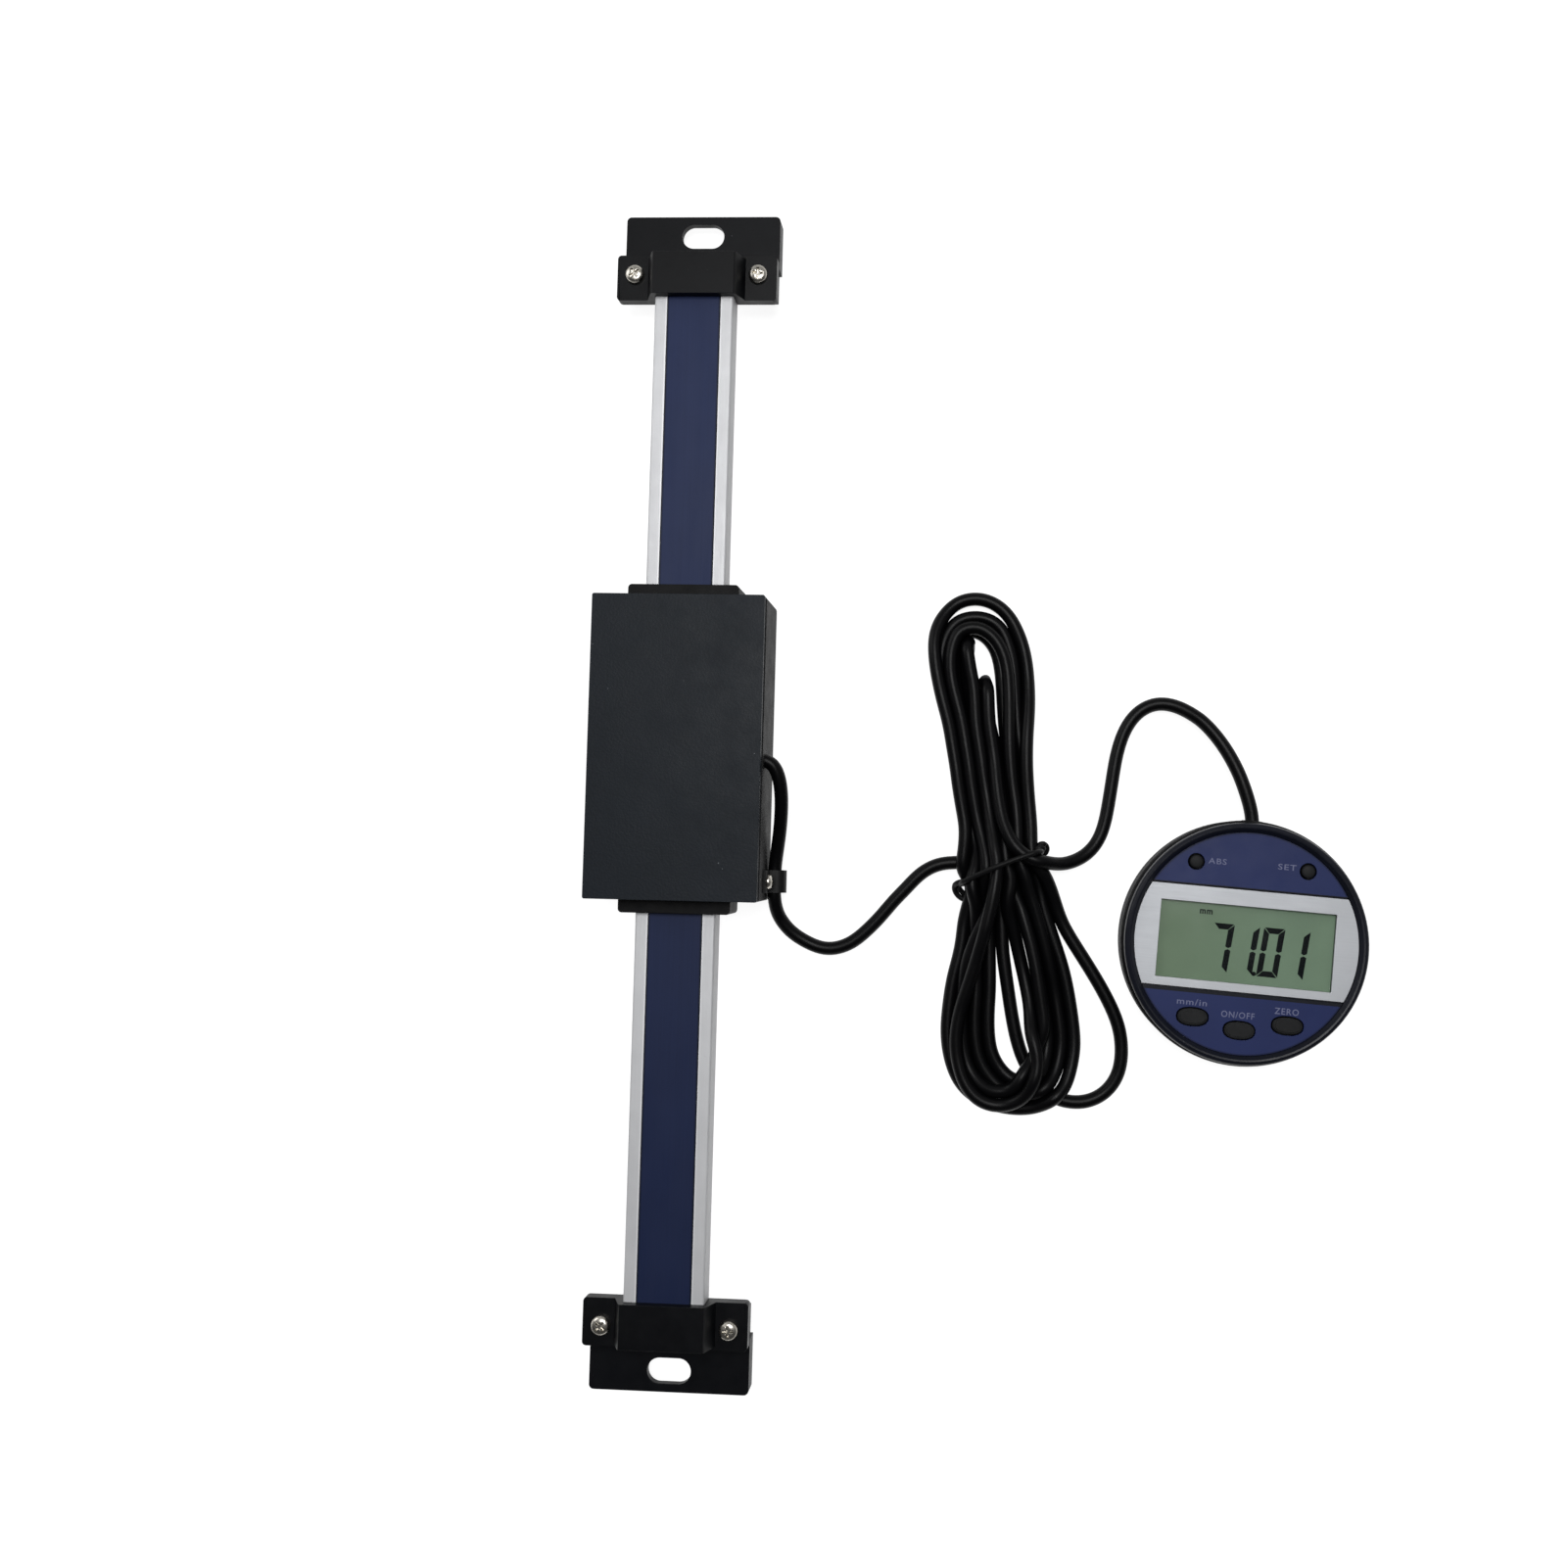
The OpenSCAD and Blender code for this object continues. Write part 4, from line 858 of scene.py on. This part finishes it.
def zebra(name):
    """Elastomer contact strip: thin dark and pink layers."""
    m = Mat(name)
    bands = m.math("SINE", m.math("MULTIPLY", m.axis("X", in_display(m)), 2 * math.pi * 1000 / 0.36))
    m.colour(m.mix(m.span(bands, -0.3, 0.3, 0, 1), (0.02, 0.02, 0.02), (0.55, 0.25, 0.28)))
    m.rough(m.span(m.noise(0.8, 4, 0.6), 0.3, 0.7, 0.5, 0.7))
    m.normal(m.bump(bands, 0.01, 0.6))
    return m.m


mats["strip_pink"] = zebra("contact_rubber")

screw_places = [(sx * 15.8 - 74.1, sy * 131.5) for sx in (-1, 1) for sy in (-1, 1)]
mats["screw_steel"] = turned_metal("screw_steel", (0.62, 0.59, 0.53), 0.24, screw_places)

for name, node in NODES.items():
    old = node.data.materials[0].name.split(".")[0] if node.data.materials else ""
    if old not in mats:
        raise ValueError(f"no material for {name}: {old}")
    node.data.materials[0] = mats[old]
cable.data.materials.append(mats["cord_black"])
tie.data.materials.append(mats["tie_black"])

# ------------------------------------------------------------------ edges of the CAD parts

smooth_group = bpy.data.node_groups.new("smooth_by_angle", "GeometryNodeTree")
smooth_group.interface.new_socket("Geometry", in_out="INPUT", socket_type="NodeSocketGeometry")
smooth_group.interface.new_socket("Geometry", in_out="OUTPUT", socket_type="NodeSocketGeometry")
g_in = smooth_group.nodes.new("NodeGroupInput")
g_out = smooth_group.nodes.new("NodeGroupOutput")
g_angle = smooth_group.nodes.new("GeometryNodeInputMeshEdgeAngle")
g_less = smooth_group.nodes.new("FunctionNodeCompare")
g_less.data_type = "FLOAT"
g_less.operation = "LESS_THAN"
g_less.inputs[1].default_value = math.radians(32)
g_face = smooth_group.nodes.new("GeometryNodeSetShadeSmooth")
g_face.domain = "FACE"
g_edge = smooth_group.nodes.new("GeometryNodeSetShadeSmooth")
g_edge.domain = "EDGE"
smooth_group.links.new(g_in.outputs[0], g_face.inputs["Geometry"])
smooth_group.links.new(g_face.outputs[0], g_edge.inputs["Geometry"])
smooth_group.links.new(g_angle.outputs["Unsigned Angle"], g_less.inputs[0])
smooth_group.links.new(g_less.outputs[0], g_edge.inputs["Shade Smooth"])
smooth_group.links.new(g_edge.outputs[0], g_out.inputs[0])


def soften(obj, width, segments=2, angle=32, planar=0.5):
    """Rounds a part's sharp edges a little and smooths its shading, as modifiers over the unchanged mesh."""
    weld = obj.modifiers.new("weld", "WELD")
    weld.merge_threshold = 3e-6
    flat = obj.modifiers.new("flat", "DECIMATE")
    flat.decimate_type = "DISSOLVE"
    flat.angle_limit = math.radians(planar)
    if width:
        bevel = obj.modifiers.new("edges", "BEVEL")
        bevel.width = width * MM
        bevel.segments = segments
        bevel.limit_method = "ANGLE"
        bevel.angle_limit = math.radians(angle)
        bevel.use_clamp_overlap = True
        bevel.miter_outer = "MITER_ARC"
    smooth = obj.modifiers.new("smooth", "NODES")
    smooth.node_group = smooth_group
    even = obj.modifiers.new("even", "WEIGHTED_NORMAL")
    even.keep_sharp = True
    even.weight = 60


EDGE = {
    "beam_extrusion": 0.16, "scale_overlay": 0.04, "scale_board": 0.06,
    "end_base_top": 0.35, "end_base_bottom": 0.35, "end_strap_top": 0.32, "end_strap_bottom": 0.32,
    "strap_screws": 0.07, "strap_inserts": 0.06,
    "head_base": 0.3, "head_cover": 0.28, "wiper_collar_top": 0.2, "wiper_collar_bottom": 0.2,
    "carriage": 0.2, "gib_strip": 0.1, "glide_pads": 0.1, "sensor_board": 0.06, "sensor_chips": 0.06,
    "cable_grommet": 0.15, "cable_clip": 0.15, "clip_screw": 0.06,
    "display_back": 0.3, "display_front": 0.14, "face_panel": 0.08, "window_band": 0.1,
    "lcd_window": 0.05, "lcd_glass": 0.05, "battery": 0.12, "battery_cover": 0.15, "display_board": 0.06,
    "tact_switches": 0.06, "back_magnets": 0.12, "display_bush": 0.15,
    "button_abs": 0.14, "button_set": 0.14, "button_unit": 0.14, "button_power": 0.14, "button_zero": 0.14,
}
for name, node in NODES.items():
    if not node.hide_render:
        soften(node, EDGE.get(name, 0.05), 3 if EDGE.get(name, 0.05) > 0.25 else 2)

# ------------------------------------------------------------------ readout and legends


def flat_piece(name, polygons, z, height, body, material):
    """Flat figures given as outlines in the display's own millimetres, raised by height from z."""
    bm = bmesh.new()
    for outline_ in polygons:
        low = [bm.verts.new(DISPLAY @ Vector((x * MM, y * MM, z * MM))) for x, y in outline_]
        high = [bm.verts.new(DISPLAY @ Vector((x * MM, y * MM, (z + height) * MM))) for x, y in outline_]
        bm.faces.new(low[::-1])
        bm.faces.new(high)
        for i in range(len(low)):
            j = (i + 1) % len(low)
            bm.faces.new((low[i], low[j], high[j], high[i]))
    me = bpy.data.meshes.new(name)
    bm.to_mesh(me)
    bm.free()
    obj = bpy.data.objects.new(name, me)
    scene.collection.objects.link(obj)
    me.materials.append(material)
    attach(obj, body)
    return obj


SEGMENTS = {"7": "abc", "1": "bc", "0": "abcdef"}
LEAN = math.tan(math.radians(5.5))


def digit(symbol, right, middle, w=5.1, h=12.0, t=1.4, gap=0.16):
    """Seven-segment digit as mitred bars, leaning to the right."""
    out = []
    x0, x1, y0, y1 = 0.0, w, -h / 2, h / 2
    inner = t
    bars = {
        "a": [(x0 + gap, y1), (x1 - gap, y1), (x1 - inner - gap * 0.4, y1 - inner), (x0 + inner + gap * 0.4, y1 - inner)],
        "d": [(x0 + inner + gap * 0.4, y0 + inner), (x1 - inner - gap * 0.4, y0 + inner), (x1 - gap, y0), (x0 + gap, y0)],
        "b": [(x1, y1 - gap), (x1, t * 0.35), (x1 - t * 0.5, gap * 0.8), (x1 - inner, t * 0.35), (x1 - inner, y1 - inner - gap * 0.6)],
        "c": [(x1, y0 + gap), (x1 - inner, y0 + inner + gap * 0.6), (x1 - inner, -t * 0.35), (x1 - t * 0.5, -gap * 0.8), (x1, -t * 0.35)],
        "f": [(x0, y1 - gap), (x0 + inner, y1 - inner - gap * 0.6), (x0 + inner, t * 0.35), (x0 + t * 0.5, gap * 0.8), (x0, t * 0.35)],
        "e": [(x0, y0 + gap), (x0, -t * 0.35), (x0 + t * 0.5, -gap * 0.8), (x0 + inner, -t * 0.35), (x0 + inner, y0 + inner + gap * 0.6)],
    }
    for key in SEGMENTS[symbol]:
        pts = [(right - w + x + y * LEAN, middle + y) for x, y in bars[key]]
        area = sum(a[0] * b[1] - b[0] * a[1] for a, b in zip(pts, pts[1:] + pts[:1]))
        out.append(pts if area > 0 else pts[::-1])
    return out


def ink(name, base, rough=0.45):
    m = Mat(name)
    grain = m.noise(0.12, 3, 0.6)
    m.colour(m.mix(m.span(grain, 0.3, 0.7, 0, 1), shade(base, 0.8), shade(base, 1.2)))
    m.rough(m.span(m.noise(1.5, 4, 0.6), 0.3, 0.7, rough - 0.08, rough + 0.08))
    m.normal(m.bump(grain, 0.003, 0.5))
    m.set(Specular_IOR_Level=0.04)
    return m.m


figures = []
for k, symbol in enumerate("7101"):
    figures += digit(symbol, -3.35 + 6.1 * k, -1.65)
dot = [(2.62 + 0.55 * math.cos(a), -7.15 + 0.55 * math.sin(a)) for a in np.linspace(0, 2 * math.pi, 12, endpoint=False)]
figures.append(dot)
readout = flat_piece("readout_figures", figures, 9.915, 0.02, "root", ink("crystal_dark", (0.0012, 0.003, 0.004)))


def lettering(name, items, z, material, body="root", bold=0.0):
    """Plain generic legends: (words, x, y, height, width) in the display's own millimetres."""
    bm = bmesh.new()
    for words, x, y, height, width in items:
        data = bpy.data.curves.new("words", "FONT")
        data.body = words
        data.align_x, data.align_y = "CENTER", "CENTER"
        data.size = 1.0
        data.space_character = 1.15
        data.resolution_u = 3
        data.offset = bold
        temp = bpy.data.objects.new("words", data)
        scene.collection.objects.link(temp)
        bpy.context.view_layer.update()
        made = temp.evaluated_get(bpy.context.evaluated_depsgraph_get()).to_mesh()
        co = np.array([v.co[:] for v in made.vertices])
        lo_, hi_ = co.min(0), co.max(0)
        sx = width / (hi_[0] - lo_[0])
        sy = height / (hi_[1] - lo_[1])
        mid = (lo_ + hi_) / 2
        vs = [bm.verts.new(DISPLAY @ Vector(((x + (c[0] - mid[0]) * sx) * MM, (y + (c[1] - mid[1]) * sy) * MM, z * MM))) for c in co]
        for p in made.polygons:
            try:
                bm.faces.new([vs[i] for i in p.vertices])
            except ValueError:
                pass
        temp.to_mesh_clear() if hasattr(temp, "to_mesh_clear") else None
        bpy.data.objects.remove(temp)
    made_faces = bmesh.ops.extrude_face_region(bm, geom=list(bm.faces))
    for g in made_faces["geom"]:
        if isinstance(g, bmesh.types.BMVert):
            g.co.z += 0.015 * MM
    bmesh.ops.recalc_face_normals(bm, faces=list(bm.faces))
    me = bpy.data.meshes.new(name)
    bm.to_mesh(me)
    bm.free()
    obj = bpy.data.objects.new(name, me)
    scene.collection.objects.link(obj)
    me.materials.append(material)
    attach(obj, body)
    return obj


legend_ink = ink("legend_ink", (0.16, 0.17, 0.27))
legends = lettering(
    "button_legends",
    [
        ("ABS", -8.4, 19.3, 1.4, 4.4), ("SET", 8.4, 19.4, 1.4, 4.4), ("mm/in", -11.8, -15.25, 1.5, 7.2),
        ("ON/OFF", -0.6, -17.35, 1.55, 8.0), ("ZERO", 11.0, -15.4, 1.55, 5.8),
    ],
    11.1, legend_ink, bold=0.008,
)
unit_sign = lettering("readout_unit", [("mm", -9.95, 6.8, 1.15, 3.1)], 9.915, bpy.data.materials["crystal_dark"], bold=0.035)

# ------------------------------------------------------------------ floor and light

floor_mesh = bpy.data.meshes.new("floor")
floor_bm = bmesh.new()
side = 6.0
vs = [floor_bm.verts.new((x, y, -0.00004)) for x, y in ((-side, -side), (side, -side), (side, side), (-side, side))]
floor_bm.faces.new(vs)
floor_bm.to_mesh(floor_mesh)
floor_bm.free()
floor = bpy.data.objects.new("floor", floor_mesh)
scene.collection.objects.link(floor)
m = Mat("floor_white")
m.colour(m.mix(m.span(m.noise(60, 3, 0.5), 0.3, 0.7, 0, 1), (0.26, 0.26, 0.26), (0.28, 0.28, 0.28)))
m.rough(0.9)
m.set(Specular_IOR_Level=0.1, Emission_Color=(1, 1, 1, 1), Emission_Strength=0.90)
floor_mesh.materials.append(m.m)


def area_light(name, at, to, size, watts, colour=(1, 1, 1), size_y=None):
    data = bpy.data.lights.new(name, "AREA")
    data.shape = "RECTANGLE"
    data.size = size
    data.size_y = size_y or size
    data.energy = watts
    data.color = colour
    obj = bpy.data.objects.new(name, data)
    scene.collection.objects.link(obj)
    obj.location = at
    obj.rotation_mode = "QUATERNION"
    obj.rotation_quaternion = (Vector(to) - Vector(at)).to_track_quat("-Z", "Y")
    return obj


area_light("top_light", (0.03, 0.26, 1.18), (0, 0, 0), 0.56, 8.5)
area_light("left_light", (-1.0, 0.55, 0.6), (0, 0, 0), 0.7, 3.0)

world = bpy.data.worlds.new("studio")
scene.world = world
world.use_nodes = True
wt = world.node_tree
wt.nodes.clear()
w_out = wt.nodes.new("ShaderNodeOutputWorld")
w_bg = wt.nodes.new("ShaderNodeBackground")
w_co = wt.nodes.new("ShaderNodeTexCoord")
w_sep = wt.nodes.new("ShaderNodeSeparateXYZ")
w_y = wt.nodes.new("ShaderNodeMapRange")
w_z = wt.nodes.new("ShaderNodeMapRange")
for node_, lo_, hi_, a_, b_ in ((w_y, -0.5, 0.5, 0.30, 1.45), (w_z, 0.15, 0.8, 0.34, 0.22)):
    node_.interpolation_type = "SMOOTHSTEP"
    for key, v in (("From Min", lo_), ("From Max", hi_), ("To Min", a_), ("To Max", b_)):
        node_.inputs[key].default_value = v
w_mul = wt.nodes.new("ShaderNodeMath")
w_mul.operation = "MULTIPLY"
wt.links.new(w_co.outputs["Generated"], w_sep.inputs[0])
wt.links.new(w_sep.outputs["Y"], w_y.inputs["Value"])
wt.links.new(w_sep.outputs["Z"], w_z.inputs["Value"])
wt.links.new(w_y.outputs[0], w_mul.inputs[0])
wt.links.new(w_z.outputs[0], w_mul.inputs[1])
wt.links.new(w_mul.outputs[0], w_bg.inputs["Strength"])
w_bg.inputs["Color"].default_value = (1, 1, 1, 1)
wt.links.new(w_bg.outputs[0], w_out.inputs[0])

scene.view_settings.view_transform = "Standard"
scene.view_settings.look = "None"
scene.view_settings.exposure = 0
scene.view_settings.gamma = 1

# ------------------------------------------------------------------ the end

bpy.context.view_layer.update()
